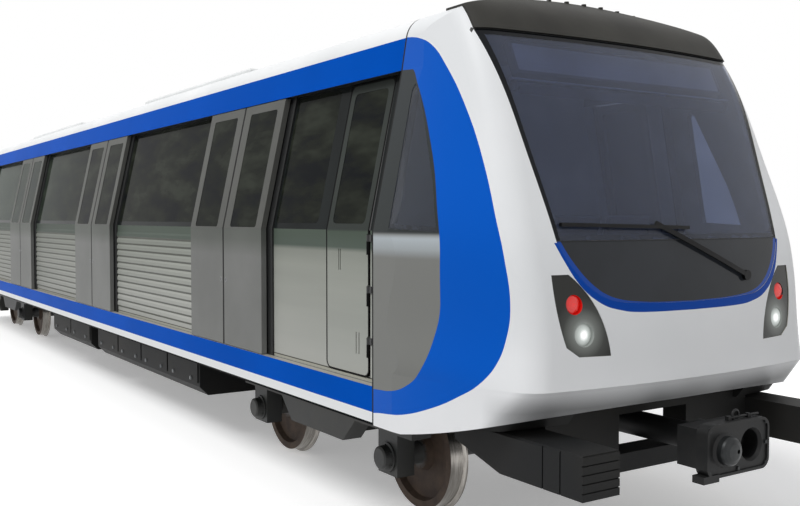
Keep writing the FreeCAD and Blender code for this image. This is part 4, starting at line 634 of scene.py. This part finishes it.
# Painted shade under the chin: it darkens over the lowest 110 mm and fades out round the cheeks.
chin_shade_rise = add_node(tree, "ShaderNodeMapRange", {"Value": height, "From Min": 1.09, "From Max": 1.20,
                                                  "To Min": 0.68, "To Max": 0.0})
chin_shade_reach = add_node(tree, "ShaderNodeMapRange", {"Value": behind, "From Min": 0.16, "From Max": 0.42,
                                                   "To Min": 1.0, "To Max": 0.0})
chin_shade = add_node(tree, "ShaderNodeMath", {0: chin_shade_rise.outputs["Result"], 1: chin_shade_reach.outputs["Result"]},
                operation="MULTIPLY").outputs["Value"]
tone = shader.inputs["Base Color"].links[0].from_socket
for share, colour in ((chin_shade, linear("4c4d4d")), (in_sweep, linear("0058c2")),
                      (in_grey, grey.outputs["Color"]), (in_trim, linear("0043a2")),
                      (at_joint, linear("121314"))):
    tone = add_node(tree, "ShaderNodeMix", {0: share, 6: tone, 7: colour}, data_type="RGBA").outputs[2]
tree.links.new(tone, shader.inputs["Base Color"])
# Back of the moulding: raw resin, dull and straw grey, with the glass strands as 6 mm lumps.
shell_back = coat("raw_glass_fibre_back", "8d8c84", "a09f97", rough=0.8, patch=0.2, grain=0.006,
                  depth=0.001)[0]
# Glazing primer: brushed on before the glass is bonded, a flat black that swallows the joint.
primer = coat("black_glazing_primer", "0b0c0d", "121313", rough=0.6, patch=0.2, grain=0.004)[0]
bonded = []
for name in ("windscreen", "roof_visor", "cab_side_windows"):
    sheet = bmesh.new()
    sheet.from_mesh(nodes[name].data)
    bonded.append(BVHTree.FromBMesh(sheet))
    sheet.free()


def shell_zone(centre, normal):
    """0 paint, 1 bare moulding inside, 2 glazing primer: faces that look at a pane's back or edge, and
    painted shade along the glazing's sill and head.
    """
    start = centre + normal * 0.0005
    if centre.z > glazing_low and any(pane.ray_cast(start, normal, glue_depth)[0] for pane in bonded):
        return 2
    out = abs(centre.x)
    # Along the windscreen's sill and under the visor the primer's black is also painted shade for the narrow
    # gaps there.
    at_sill = glazing_low < centre.z < waist_z and out < sill_half_width and centre.y < sill_end_y
    at_head = lintel_low < centre.z < lintel_high and out < lintel_half_width and centre.y < lintel_end_y
    if at_sill or at_head:
        return 2
    return int(normal.dot(centre - shell_heart) < 0 and normal.y > -0.3 or normal.y > 0.95)


dress("cab_shell", shell_paint, shell_back, primer)
sort_faces("cab_shell", shell_zone)

# Joint seal: an extruded black rubber strip pressed in behind the shell's end on both sides. It runs
# from the floor up to the waist and then leans in with the side as far as the cantrail.
strip_inner, strip_outer = 1.404, 1.486
strip_front, strip_back = -7.944, -7.928
strip_foot, strip_top = 1.112, 3.195
strip_lean = 0.2288
joint_seal = bmesh.new()
for side in (-1, 1):
    near, far = sorted((side * strip_inner, side * strip_outer))
    slab(joint_seal, (near, strip_front, strip_foot), (far, strip_back, strip_top))
everything = list(joint_seal.verts) + list(joint_seal.edges) + list(joint_seal.faces)
bmesh.ops.bisect_plane(joint_seal, geom=everything, plane_co=(0, 0, waist_z), plane_no=(0, 0, 1))
for side in (-1, 1):
    head = [vert for vert in joint_seal.verts if vert.co.z > waist_z + 0.01 and vert.co.x * side > 0]
    bmesh.ops.translate(joint_seal, vec=(-side * strip_lean, 0, 0), verts=head)
bmesh.ops.recalc_face_normals(joint_seal, faces=joint_seal.faces)
finish_piece("cab_joint_seal", joint_seal, "car_body", "black_rubber", leaf_rubber)

# Windscreen and cab side windows: laminated glass bonded into the shell's rebates, tinted blue-grey,
# with a printed black ceramic border that hides the glue line and everything fixed behind it.
screen_low, screen_high = 2.085, 3.387
screen_foot_reach, screen_head_reach = 1.029, 1.187
foot_border, head_border = 0.030, 0.040
border_z = 3.352
# Windscreen: clear and glossy with a cold tint that drifts over 400 mm, and an opaque border.
screen_glass, tree, shader, place = start_material("laminated_windscreen", Roughness=0.02, IOR=1.3,
                                                   Specular_IOR_Level=0.3)
across, along, height = folded_place(tree, place)
edge_line = add_node(tree, "ShaderNodeMapRange", {"Value": height, "From Min": screen_low,
                                                  "From Max": screen_high,
                                                  "To Min": screen_foot_reach - foot_border,
                                                  "To Max": screen_head_reach - head_border})
beside = add_node(tree, "ShaderNodeMath", {0: across, 1: edge_line.outputs["Result"]},
                  operation="GREATER_THAN")
above = add_node(tree, "ShaderNodeMath", {0: height, 1: border_z}, operation="GREATER_THAN")
border = add_node(tree, "ShaderNodeMath", {0: beside.outputs["Value"], 1: above.outputs["Value"]},
                  operation="MAXIMUM").outputs["Value"]
haze = add_node(tree, "ShaderNodeTexNoise", {"Vector": place, "Scale": 2.5, "Detail": 3.0})
tint = add_node(tree, "ShaderNodeValToRGB", {"Fac": haze.outputs["Fac"]}, [(0.4, "8893b0"), (0.6, "909bb8")])
bordered = add_node(tree, "ShaderNodeMix", {0: border, 6: tint.outputs["Color"], 7: linear("14161a")},
                    data_type="RGBA")
tree.links.new(bordered.outputs[2], shader.inputs["Base Color"])
clear = add_node(tree, "ShaderNodeMapRange", {"Value": border, "To Min": 0.90, "To Max": 0.0})
tree.links.new(clear.outputs["Result"], shader.inputs["Transmission Weight"])
dress("windscreen", screen_glass)
# Side panes: the same glass with a greyer tint and a softer reflection.
cab_glass = coat("tinted_cab_glass", "818998", "8991a0", rough=0.03, patch=0.8, grain=0.01, depth=0.00003,
                 Transmission_Weight=0.90, IOR=1.3, Specular_IOR_Level=0.12)[0]
dress("cab_side_windows", cab_glass)

# Front mask: a panel of gloss black acrylic under the windscreen, formed to the nose and clipped into
# the same rebate. Its lower edge is sprayed blue with the line on the shell below it. The black ends
# at mask_line, given as (distance from the middle, height) in metres.
mask_line = [(0.0, 1.700), (0.46, 1.715), (0.63, 1.738), (0.72, 1.768), (0.776, 1.800), (0.855, 1.866),
             (0.907, 1.927), (0.96, 2.005), (0.995, 2.075), (1.10, 2.300)]
# Acrylic: a deep smooth black that mirrors the ground, with a faint 10 mm ripple.
mask_black, tree, shader, place = coat("gloss_black_acrylic", "24272b", "2d3035", rough=0.10, patch=0.7,
                                       grain=0.01, depth=0.00004, IOR=1.49, Specular_IOR_Level=0.22)
across, along, height = folded_place(tree, place)
in_black = past_line(tree, mask_line, across, height, low=0.0, span=1.1, reach=2.4)
tone = shader.inputs["Base Color"].links[0].from_socket
edged = add_node(tree, "ShaderNodeMix", {0: in_black, 6: linear("0043a2"), 7: tone}, data_type="RGBA")
tree.links.new(edged.outputs[2], shader.inputs["Base Color"])
dress("front_mask", mask_black)

# Roof visor: a dark grey moulded fairing over the windscreen, held by a row of capped bolts. Its
# gel coat has weathered to a soft brownish grey, mottled over 400 mm, with a 4 mm grain.
visor_grey = coat("weathered_gel_coat", "2b2a27", "353430", rough=0.6, patch=0.4, grain=0.004,
                  depth=0.0005, Specular_IOR_Level=0.2)[0]
dress("roof_visor", visor_grey)

# Headlamps: a deep housing in each cheek, moulded in smoked polycarbonate over a metallised bowl,
# with a red tail lamp over a white headlamp, each a clear domed lens screwed into a round well.
tail_lamp = (0.959, 1.715)
head_lamp = (0.902, 1.538)
tail_radius = 0.0582
head_radius = 0.0702
bowl_lift = 0.01
bowl_inner, bowl_outer = 0.05, 0.21
disc_radius = 0.07
prism_pitch = 0.006


def lamp_reach(tree, place, centre):
    """Distance from a lamp's middle as seen from ahead, on both sides of the car."""
    across, along, height = folded_place(tree, place)
    flat_place = add_node(tree, "ShaderNodeCombineXYZ", {"X": across, "Z": height}).outputs["Vector"]
    return add_node(tree, "ShaderNodeVectorMath", {0: flat_place, 1: (centre[0], 0, centre[1])},
                    operation="DISTANCE").outputs["Value"]


# Smoked housing: a painted glow of the headlamp, bright round its bowl and darkening outwards, with a
# 17 mm moulding ripple.
housing, tree, shader, place = start_material("smoked_lamp_housing", Roughness=0.22, Coat_Weight=0.1,
                                              Coat_Roughness=0.05, Specular_IOR_Level=0.25)
reach = lamp_reach(tree, place, (head_lamp[0], head_lamp[1] + bowl_lift))
glow_spread = add_node(tree, "ShaderNodeMapRange", {"Value": reach, "From Min": bowl_inner, "From Max": bowl_outer})
painted_glow = add_node(tree, "ShaderNodeValToRGB", {"Fac": glow_spread.outputs["Result"]},
                [(0.0, "a3a8a5"), (0.22, "787c78"), (0.62, "3e403d"), (1.0, "222320")])
tree.links.new(painted_glow.outputs["Color"], shader.inputs["Base Color"])
mottle = add_node(tree, "ShaderNodeTexNoise", {"Vector": place, "Scale": 60.0, "Detail": 3.0})
relief = add_node(tree, "ShaderNodeBump", {"Height": mottle.outputs["Fac"], "Strength": 0.2,
                                           "Distance": 0.0005})
tree.links.new(relief.outputs["Normal"], shader.inputs["Normal"])
# Lenses: brightest at the bulb and darker towards the rim; rings of relief stand for the prisms at
# the back of the lens, 6 mm apart.
lenses = []
for name, centre, codes, glow in (
        ("red_prismatic_lens", tail_lamp, ("dc1d14", "cc160f", "9c0e0a"), 0.38),
        ("white_prismatic_lens", head_lamp, ("ffffff", "a5aba8", "6c706d"), 0.85)):
    lens, tree, shader, place = start_material(name, Roughness=0.12, Coat_Weight=0.3, Coat_Roughness=0.03,
                                               Emission_Strength=glow)
    reach = lamp_reach(tree, place, centre)
    spread = add_node(tree, "ShaderNodeMapRange", {"Value": reach, "From Max": disc_radius}).outputs["Result"]
    disc = add_node(tree, "ShaderNodeValToRGB", {"Fac": spread}, list(zip((0.10, 0.52, 1.0), codes)))
    tree.links.new(disc.outputs["Color"], shader.inputs["Base Color"])
    tree.links.new(disc.outputs["Color"], shader.inputs["Emission Color"])
    rings = add_node(tree, "ShaderNodeMath", {0: reach, 1: 2 * math.pi / prism_pitch}, operation="MULTIPLY")
    wave = add_node(tree, "ShaderNodeMath", {0: rings.outputs["Value"]}, operation="SINE")
    relief = add_node(tree, "ShaderNodeBump", {"Height": wave.outputs["Value"], "Strength": 0.25,
                                               "Distance": 0.0008})
    tree.links.new(relief.outputs["Normal"], shader.inputs["Normal"])
    lenses.append(lens)


def lamp_zone(centre, normal):
    """0 housing, 1 red lens, 2 white lens."""
    for number, (lamp, radius) in enumerate(((tail_lamp, tail_radius), (head_lamp, head_radius)), start=1):
        if math.hypot(abs(centre.x) - lamp[0], centre.z - lamp[1]) < radius:
            return number
    return 0


dress("headlamps", housing, *lenses)
sort_faces("headlamps", lamp_zone)

# Wiper: a pressed steel arm clamped on its spindle, with a blade frame at the end that carries a
# rubber blade. All powder coated a near black with a 3 mm ripple, half matt so that it stands out
# from the glass.
wiper_black = coat("black_powder_coat", "060607", "0d0d0e", rough=0.4, patch=0.1, grain=0.003,
                   depth=0.0004, Specular_IOR_Level=0.2)[0]
dress("wiper", wiper_black)

# Destination display: a shallow steel box behind the top of the windscreen, leaned like the glass,
# with a dark dot-matrix pane let into its front and a bright aluminium lip under it.
display_tilt = Matrix.Rotation(math.radians(-24), 4, "X")
display_half = 0.97
dot_pitch = 0.014
# Box enamel: a flat blue-grey, dark enough to fade behind the tinted glass.
box_steel = coat("dark_box_enamel", "2a2d35", "31343d", rough=0.5, patch=0.3, grain=0.003)[0]
# Dot matrix: rows of pale unlit discs 14 mm apart, with a faint painted glow.
matrix_pane, tree, shader, place = start_material("dot_matrix_pane", Roughness=0.3, Emission_Strength=0.14)
cells = add_node(tree, "ShaderNodeTexVoronoi", {"Vector": place, "Scale": 1 / dot_pitch, "Randomness": 0.0})
dots = add_node(tree, "ShaderNodeValToRGB", {"Fac": cells.outputs["Distance"]},
                [(0.28, "8a8d96"), (0.36, "777a83")])
tree.links.new(dots.outputs["Color"], shader.inputs["Base Color"])
tree.links.new(dots.outputs["Color"], shader.inputs["Emission Color"])
# Aluminium lip: a pale satin line across the glass, with 2 mm grain.
lip_metal = coat("satin_aluminium_lip", "a7abb5", "b9bdc6", rough=0.35, patch=0.2, grain=0.002,
                 Metallic=0.6)[0]
display = bmesh.new()
slab(display, (-display_half, -8.650, 3.095), (display_half, -8.590, 3.335), edge=0.006, turn=display_tilt)
display.faces.ensure_lookup_table()
front = min(display.faces, key=lambda face: face.calc_center_median().y - 0.5 * face.calc_area())
bmesh.ops.inset_individual(display, faces=[front], thickness=0.022)
bmesh.ops.inset_individual(display, faces=[front], thickness=0.002, depth=-0.004)
front.material_index = 1
finish_piece("destination_display", display, "car_body", "black_panel", box_steel, matrix_pane)
lip = bmesh.new()
slab(lip, (-1.03, -8.715, 3.074), (1.03, -8.690, 3.080), edge=0.001)
finish_piece("display_lip", lip, "car_body", "steel_panel", lip_metal)

# Sun blind: a roll of fabric under the display, held between two moulded end caps, with the weighted
# hem of the cloth hanging in front of it.
roll_y, roll_z = -8.690, 3.035
roll_radius = 0.026
cap_x = 0.995
# Blind cloth: a matt charcoal, flecked at the 1.5 mm of its yarns.
blind_cloth = coat("woven_blind_cloth", "2b2e36", "363a43", rough=0.85, patch=0.05, grain=0.0015,
                   depth=0.0006)[0]
blind = bmesh.new()
post(blind, (-0.99, roll_y, roll_z), (0.99, roll_y, roll_z), roll_radius, sides=24)
slab(blind, (-0.97, -8.718, 2.985), (0.97, -8.712, 3.030), edge=0.001)
for x in (-cap_x, cap_x):
    post(blind, (x - 0.01, roll_y, roll_z), (x + 0.01, roll_y, roll_z), roll_radius + 0.008, sides=24)
finish_piece("sun_blind_roll", blind, "car_body", "desk_plastic", blind_cloth)

# Driver's desk: a moulded dark grey console with a leather grain; two framed screens, a row of
# push buttons and the two control handles stand on it.
screen_middles = (-0.56, -0.10)
screen_half = 0.185
foot_half = 0.045
button_count = 9
button_pitch = 0.05
button_start = -0.52
# Grained moulding: a matt dark grey whose 5 mm leather grain breaks up the light.
desk_grain = coat("grained_desk_moulding", "33363a", "3b3e42", rough=0.6, patch=0.2, grain=0.005,
                  depth=0.0006)[0]
# Screen glass: switched off, a smooth blue-black.
screen_face = coat("display_screen_glass", "0a0c0f", "11141a", rough=0.12, patch=0.2, grain=0.01,
                   depth=0.00002)[0]
# Button plastic: a mid grey, polished by hands.
button_plastic = coat("moulded_button_plastic", "75787c", "888b8e", rough=0.35, patch=0.01, grain=0.002)[0]
dress("driver_desk", desk_grain)
screens = bmesh.new()
lean_back = Matrix.Rotation(math.radians(18), 4, "X")
for x in screen_middles:
    slab(screens, (x - screen_half, -8.800, 2.000), (x + screen_half, -8.755, 2.235), edge=0.008,
         turn=lean_back)
    slab(screens, (x - foot_half, -8.800, 1.960), (x + foot_half, -8.775, 2.030), edge=0.004)
screens.faces.ensure_lookup_table()
for x in screen_middles:
    face = max((f for f in screens.faces if abs(f.calc_center_median().x - x) < 0.02),
               key=lambda f: f.calc_center_median().y + 2 * f.calc_area() if f.normal.y > 0.5 else -99)
    bmesh.ops.inset_individual(screens, faces=[face], thickness=0.016)
    bmesh.ops.inset_individual(screens, faces=[face], thickness=0.002, depth=-0.003)
    face.material_index = 1
finish_piece("desk_screens", screens, "car_body", "desk_plastic", desk_grain, screen_face)
handles = bmesh.new()
for x in (-0.72, 0.06):
    # Control handle: a base block, a stem that leans forward and a crosswise grip.
    slab(handles, (x - 0.055, -8.640, 1.900), (x + 0.055, -8.520, 1.935), edge=0.006)
    post(handles, (x, -8.580, 1.930), (x, -8.600, 2.035), 0.010)
    post(handles, (x - 0.050, -8.600, 2.045), (x + 0.050, -8.600, 2.045), 0.019, sides=20)
for number in range(button_count):
    x = button_start + button_pitch * number
    post(handles, (x, -8.575, 1.890), (x, -8.580, 1.925), 0.012, 0.010, sides=16)
finish_piece("desk_controls", handles, "car_body", "desk_plastic", button_plastic)

# Driver's seat: a steel pedestal and pan carry a foam cushion and backrest, covered in woven charcoal
# cloth; the pads are swollen by cloth simulation within the space of their CAD solids.
seat_x = -0.330
seat_half = 0.240
pan_z = 1.487
cushion_top = 1.587
seat_front = -8.182
back_y = -7.722
pad_inset = 0.014
pad_edge = 0.022
pad_growth = 0.012
grid_size = 0.009
cloth_frames = 20
pedestal_y = -7.952
bar_x = 0.200
bar_half = 0.012
# Seat frame: a dark half-matt powder coat, scuffed over 200 mm.
seat_steel = coat("seat_frame_powder_coat", "2c2d2f", "36373a", rough=0.5, patch=0.2, grain=0.003)[0]
# Seat cloth: a soft charcoal plain weave with a bloom at grazing angles. The yarns are 2.4 mm apart,
# drawn at twice their real pitch so that the weave shows.
yarn_pitch = 0.0048
weave, tree, shader, place = start_material("woven_charcoal_cloth", Roughness=0.9, Sheen_Weight=0.4,
                                            Sheen_Roughness=0.5)
split = add_node(tree, "ShaderNodeSeparateXYZ", {"Vector": place})
strands = []
for axis in ("X", "Z"):
    scaled = add_node(tree, "ShaderNodeMath", {0: split.outputs[axis], 1: 2 * math.pi / yarn_pitch},
                      operation="MULTIPLY").outputs["Value"]
    strands.append(add_node(tree, "ShaderNodeMath", {0: scaled}, operation="SINE").outputs["Value"])
crossing = add_node(tree, "ShaderNodeMath", {0: strands[0], 1: strands[1]},
                    operation="MULTIPLY").outputs["Value"]
flecks = add_node(tree, "ShaderNodeTexNoise", {"Vector": place, "Scale": 300.0, "Detail": 2.0}).outputs["Fac"]
yarn = add_node(tree, "ShaderNodeMath", {0: crossing, 1: flecks}, operation="ADD").outputs["Value"]
cloth_tone = add_node(tree, "ShaderNodeValToRGB", {"Fac": yarn}, [(0.0, "1f2124"), (1.0, "3b3e43")])
tree.links.new(cloth_tone.outputs["Color"], shader.inputs["Base Color"])
relief = add_node(tree, "ShaderNodeBump", {"Height": crossing, "Strength": 0.5, "Distance": 0.0008})
tree.links.new(relief.outputs["Normal"], shader.inputs["Normal"])


def swell(name, low, high, turn):
    """Foam pad between two corners: remeshed, swollen by cloth under pressure, then smoothed."""
    sheet = bmesh.new()
    slab(sheet, low, high, edge=pad_edge, turn=turn)
    piece = finish_piece(name, sheet, "car_body", "desk_plastic", weave)
    remesh = piece.modifiers.new("even_grid", "REMESH")
    remesh.mode = "VOXEL"
    remesh.voxel_size = grid_size
    rest_mesh = bpy.data.meshes.new_from_object(piece.evaluated_get(bpy.context.evaluated_depsgraph_get()))
    piece.modifiers.clear()
    piece.data = rest_mesh
    if not rest_mesh.materials:
        rest_mesh.materials.append(weave)
    cloth = piece.modifiers.new("foam", "CLOTH")
    cloth.settings.use_pressure = True
    cloth.settings.uniform_pressure_force = 4.0
    cloth.settings.effector_weights.gravity = 0.0
    cloth.point_cache.frame_start = 1
    cloth.point_cache.frame_end = cloth_frames
    for number in range(1, cloth_frames + 1):
        bpy.context.scene.frame_set(number)
    grown = bpy.data.meshes.new_from_object(piece.evaluated_get(bpy.context.evaluated_depsgraph_get()))
    for vert, old in zip(grown.vertices, rest_mesh.vertices):
        step = vert.co - old.co
        vert.co = old.co + step * min(1.0, pad_growth / max(step.length, 1e-9))
    piece.modifiers.clear()
    piece.data = grown
    bpy.context.scene.frame_set(1)
    sheet = bmesh.new()
    sheet.from_mesh(piece.data)
    for _ in range(3):
        bmesh.ops.smooth_vert(sheet, verts=sheet.verts, factor=0.5, use_axis_x=True, use_axis_y=True,
                              use_axis_z=True)
    for face in sheet.faces:
        face.smooth = True
    sheet.to_mesh(piece.data)
    sheet.free()
    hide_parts("driver_seat")


pad_start, pad_end = seat_x - seat_half + pad_inset, seat_x + seat_half - pad_inset
back_tilt = Matrix.Rotation(-math.atan2(0.1, 0.7), 4, "X")
swell("driver_seat_cushion", (pad_start, seat_front + pad_inset, pan_z + 0.006),
      (pad_end, back_y - pad_inset, cushion_top - 0.012), None)
swell("driver_seat_back", (pad_start, back_y + 0.070, pan_z + 0.030),
      (pad_end, back_y + 0.150, pan_z + 0.690), back_tilt)
seat_frame = bmesh.new()
# Pedestal: a floor flange, a tapered column and a neck, under a flat pan.
post(seat_frame, (seat_x, pedestal_y, 1.107), (seat_x, pedestal_y, 1.125), 0.150, sides=32)
post(seat_frame, (seat_x, pedestal_y, 1.125), (seat_x, pedestal_y, 1.300), 0.095, 0.085, sides=32)
post(seat_frame, (seat_x, pedestal_y, 1.300), (seat_x, pedestal_y, 1.463), 0.060, sides=24)
slab(seat_frame, (seat_x - 0.160, -8.105, 1.463), (seat_x + 0.160, -7.642, pan_z), edge=0.005)
for side in (-1, 1):
    # Cranked bar that holds the backrest, and two of the pedestal's four floor bolts.
    near, far = seat_x + side * bar_x - bar_half, seat_x + side * bar_x + bar_half
    slab(seat_frame, (near, back_y - 0.080, 1.466), (far, back_y + 0.090, 1.486), edge=0.003)
    slab(seat_frame, (near, back_y + 0.060, 1.470), (far, back_y + 0.084, 1.700), edge=0.003)
    for y in (-8.05, -7.854):
        post(seat_frame, (seat_x + side * 0.100, y, 1.120), (seat_x + side * 0.100, y, 1.136), 0.012, sides=6)
bmesh.ops.recalc_face_normals(seat_frame, faces=seat_frame.faces)
piece = finish_piece("driver_seat_frame", seat_frame, "car_body", "desk_plastic", seat_steel)
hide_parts("driver_seat")

# Saloon fittings: benches pressed from glass-filled plastic along the walls, bright stainless grab
# poles from floor to ceiling, and milk-white diffusers over the lighting strips.
strip_count = 9
first_strip_y = -6.85
strip_pitch = 1.76
strip_length = 1.70
strip_x = 0.60
strip_half = 0.07
# Seat plastic: a dull mid blue with a 3 mm texture.
seat_plastic = coat("glass_filled_seat_plastic", "2f4c78", "385786", rough=0.45, patch=0.4, grain=0.003,
                    depth=0.0003)[0]
# Pole tube: bright stainless with polishing lines up it, drawn at 1.5 mm because the real ones are too fine.
pole_steel = coat("polished_stainless_tube", "b4b5b4", "c4c5c3", rough=0.22, patch=0.1, grain=0.0015,
                  stretch=(1, 1, 0.05), Metallic=1.0)[0]
# Diffuser: a soft milky white, half matt.
diffuser = coat("milk_white_diffuser", "dfe2df", "e9ece8", rough=0.4, patch=0.5, grain=0.003)[0]
dress("saloon_seats", seat_plastic)
dress("grab_poles", pole_steel)
strips = bmesh.new()
for side in (-1, 1):
    for number in range(strip_count):
        start = first_strip_y + strip_pitch * number
        slab(strips, (side * strip_x - strip_half, start, 3.290),
             (side * strip_x + strip_half, start + strip_length, 3.311), edge=0.006)
finish_piece("ceiling_light_diffusers", strips, "car_body", "lining", diffuser)

# Gangway: coated-fabric bellows folded between two riveted aluminium frames, over a tread plate with
# raised bars. The bellows start as a box with round corners, cut into rings whose crests are widened.
gang_y, gang_end = 9.340, 9.640
fold_count = 6
bellows_half = 0.705
bellows_low, bellows_high = 1.083, 3.150
frame_depth = 0.022
frame_inner, frame_outer = 0.660, 0.770
frame_low, frame_high = 1.052, 3.217
rivet_x = 0.745
# Coated fabric: a dull black-grey with a faint bloom and a 3 mm grain.
bellows_cloth = coat("coated_bellows_fabric", "1c1d1f", "26272a", rough=0.72, patch=0.2, grain=0.003,
                     depth=0.0005, Sheen_Weight=0.15)[0]
# Mill-finish aluminium: a plain grey metal, as it left the press, clouded over 200 mm.
frame_alu = coat("mill_finish_aluminium", "8b8d8f", "a0a2a3", rough=0.42, patch=0.2, grain=0.002,
                 Metallic=0.9)[0]
bellows = bmesh.new()
bellows_start = gang_y + 0.020
slab(bellows, (-bellows_half, bellows_start, bellows_low), (bellows_half, gang_end - 0.020, bellows_high))
corners = [line for line in bellows.edges if abs((line.verts[0].co - line.verts[1].co).y) > 0.1]
bmesh.ops.bevel(bellows, geom=corners, offset=0.12, segments=6, profile=0.5, affect="EDGES", material=-1)
ends = [face for face in bellows.faces if abs(face.normal.y) > 0.9]
bmesh.ops.delete(bellows, geom=ends, context="FACES_ONLY")
span = (gang_end - gang_y - 0.040) / (2 * fold_count)
for cut in range(1, 2 * fold_count):
    everything = list(bellows.verts) + list(bellows.edges) + list(bellows.faces)
    bmesh.ops.bisect_plane(bellows, geom=everything, plane_co=(0, bellows_start + cut * span, 0),
                           plane_no=(0, 1, 0))
for cut in range(1, 2 * fold_count, 2):
    crest_y = bellows_start + cut * span
    crest = [vert for vert in bellows.verts if abs(vert.co.y - crest_y) < span / 4]
    middle = Matrix.Translation((0, -crest_y, -(bellows_low + bellows_high) / 2))
    bmesh.ops.scale(bellows, vec=(1.078, 1.0, 1.052), space=middle, verts=crest)
bmesh.ops.recalc_face_normals(bellows, faces=bellows.faces)
bmesh.ops.solidify(bellows, geom=bellows.faces, thickness=0.003)
piece = finish_piece("gangway_bellows", bellows, "car_body", "black_rubber", bellows_cloth)
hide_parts("gangway")
frames = bmesh.new()
for near, far in ((gang_y, gang_y + frame_depth), (gang_end - frame_depth, gang_end)):
    for side in (-1, 1):
        left, right = sorted((side * frame_inner, side * frame_outer))
        slab(frames, (left, near, frame_low), (right, far, frame_high), edge=0.003)
        for number in range(7):
            z = 1.25 + 0.29 * number
            post(frames, (side * rivet_x, near + 0.022, z), (side * rivet_x, near + 0.026, z), 0.009, 0.006)
    slab(frames, (-0.662, near, 3.107), (0.662, far, frame_high), edge=0.003)
    slab(frames, (-0.662, near, frame_low), (0.662, far, 1.107), edge=0.003)
piece = finish_piece("gangway_frames", frames, "car_body", "steel_panel", frame_alu)
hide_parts("gangway")
plate = bmesh.new()
slab(plate, (-0.600, gang_y + 0.002, 1.098), (0.600, gang_end - 0.002, 1.106), edge=0.001)
for row in range(12):
    for column in range(6):
        x = -0.55 + 0.1 * row + (0.025 if column % 2 else 0)
        y = gang_y + 0.035 + 0.046 * column
        slab(plate, (x - 0.014, y - 0.003, 1.105), (x + 0.014, y + 0.003, 1.1075))
piece = finish_piece("gangway_tread_plate", plate, "car_body", "steel_panel", frame_alu)
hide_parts("gangway")

# Studio floor: a sweep of white paper that the car stands on. It fades into the white surround far
# off, and it reflects less light up under the car than it shows to the camera.
paper_reach = 150.0
fade_start, fade_end = 14.0, 24.0
floor_mesh = bpy.data.meshes.new("studio_floor")
sheet = bmesh.new()
bmesh.ops.create_grid(sheet, x_segments=1, y_segments=1, size=paper_reach)
sheet.to_mesh(floor_mesh)
sheet.free()
floor = bpy.data.objects.new("studio_floor", floor_mesh)
bpy.context.scene.collection.objects.link(floor)
# Paper: matt white without a texture, because its fibres are far too fine to show at this distance.
paper, tree, shader, place = start_material("white_studio_paper", Roughness=0.9)
floor_mesh.materials.append(paper)
path = add_node(tree, "ShaderNodeLightPath")
seen = add_node(tree, "ShaderNodeMath", {0: path.outputs["Is Camera Ray"], 1: path.outputs["Is Glossy Ray"]},
                operation="MAXIMUM").outputs["Value"]
albedo = add_node(tree, "ShaderNodeMapRange", {"Value": seen, "To Min": 0.45, "To Max": 0.9})
tree.links.new(albedo.outputs["Result"], shader.inputs["Base Color"])
lift = add_node(tree, "ShaderNodeMath", {0: seen, 1: 0.32}, operation="MULTIPLY").outputs["Value"]
tree.links.new(lift, shader.inputs["Emission Strength"])
shader.inputs["Emission Color"].default_value = (1, 1, 1, 1)
far_off = add_node(tree, "ShaderNodeVectorMath", {0: place}, operation="LENGTH").outputs["Value"]
distance = add_node(tree, "ShaderNodeMapRange", {"Value": far_off, "From Min": fade_start,
                                                 "From Max": fade_end}).outputs["Result"]
fade = add_node(tree, "ShaderNodeMath", {0: distance, 1: seen}, operation="MULTIPLY").outputs["Value"]
bright = add_node(tree, "ShaderNodeEmission", {"Strength": 1.0})
blend = add_node(tree, "ShaderNodeMixShader", {0: fade, 1: shader.outputs["BSDF"],
                                               2: bright.outputs["Emission"]})
output = next(node for node in tree.nodes if node.type == "OUTPUT_MATERIAL")
tree.links.new(blend.outputs["Shader"], output.inputs["Surface"])

# Light: a white surround at half strength, which the camera and clear reflections see as full white,
# and one broad soft key lamp high on the camera's left.
world = bpy.data.worlds.new("studio_light")
world.use_nodes = True
bpy.context.scene.world = world
tree = world.node_tree
background = tree.nodes["Background"]
path = add_node(tree, "ShaderNodeLightPath")
seen = path.outputs["Is Camera Ray"]
for ray in ("Is Glossy Ray", "Is Transmission Ray"):
    seen = add_node(tree, "ShaderNodeMath", {0: seen, 1: path.outputs[ray]},
                    operation="MAXIMUM").outputs["Value"]
strength = add_node(tree, "ShaderNodeMapRange", {"Value": seen, "To Min": 0.48, "To Max": 1.0})
tree.links.new(strength.outputs["Result"], background.inputs["Strength"])
background.inputs["Color"].default_value = (1, 1, 1, 1)
key_lamp = bpy.data.objects.new("key_lamp", bpy.data.lights.new("key_lamp", "SUN"))
key_lamp.data.energy = 2.0
key_lamp.data.angle = math.radians(25)
key_lamp.rotation_euler = (math.radians(36), 0, math.radians(-80))
bpy.context.scene.collection.objects.link(key_lamp)

# Camera: off the car's front right corner, 2.2 m above the floor, turned 33 degrees from its length
# and tipped down by two.
camera = bpy.data.objects.new("camera", bpy.data.cameras.new("camera"))
bpy.context.scene.collection.objects.link(camera)
camera.location = (-4.796, -13.217, 2.220)
camera.rotation_euler = (math.radians(90 - 2.13), 0, math.radians(-33.22))
camera.data.sensor_width = 36.0
camera.data.lens = 42.51
bpy.context.scene.camera = camera
bpy.context.scene.view_settings.view_transform = "Standard"
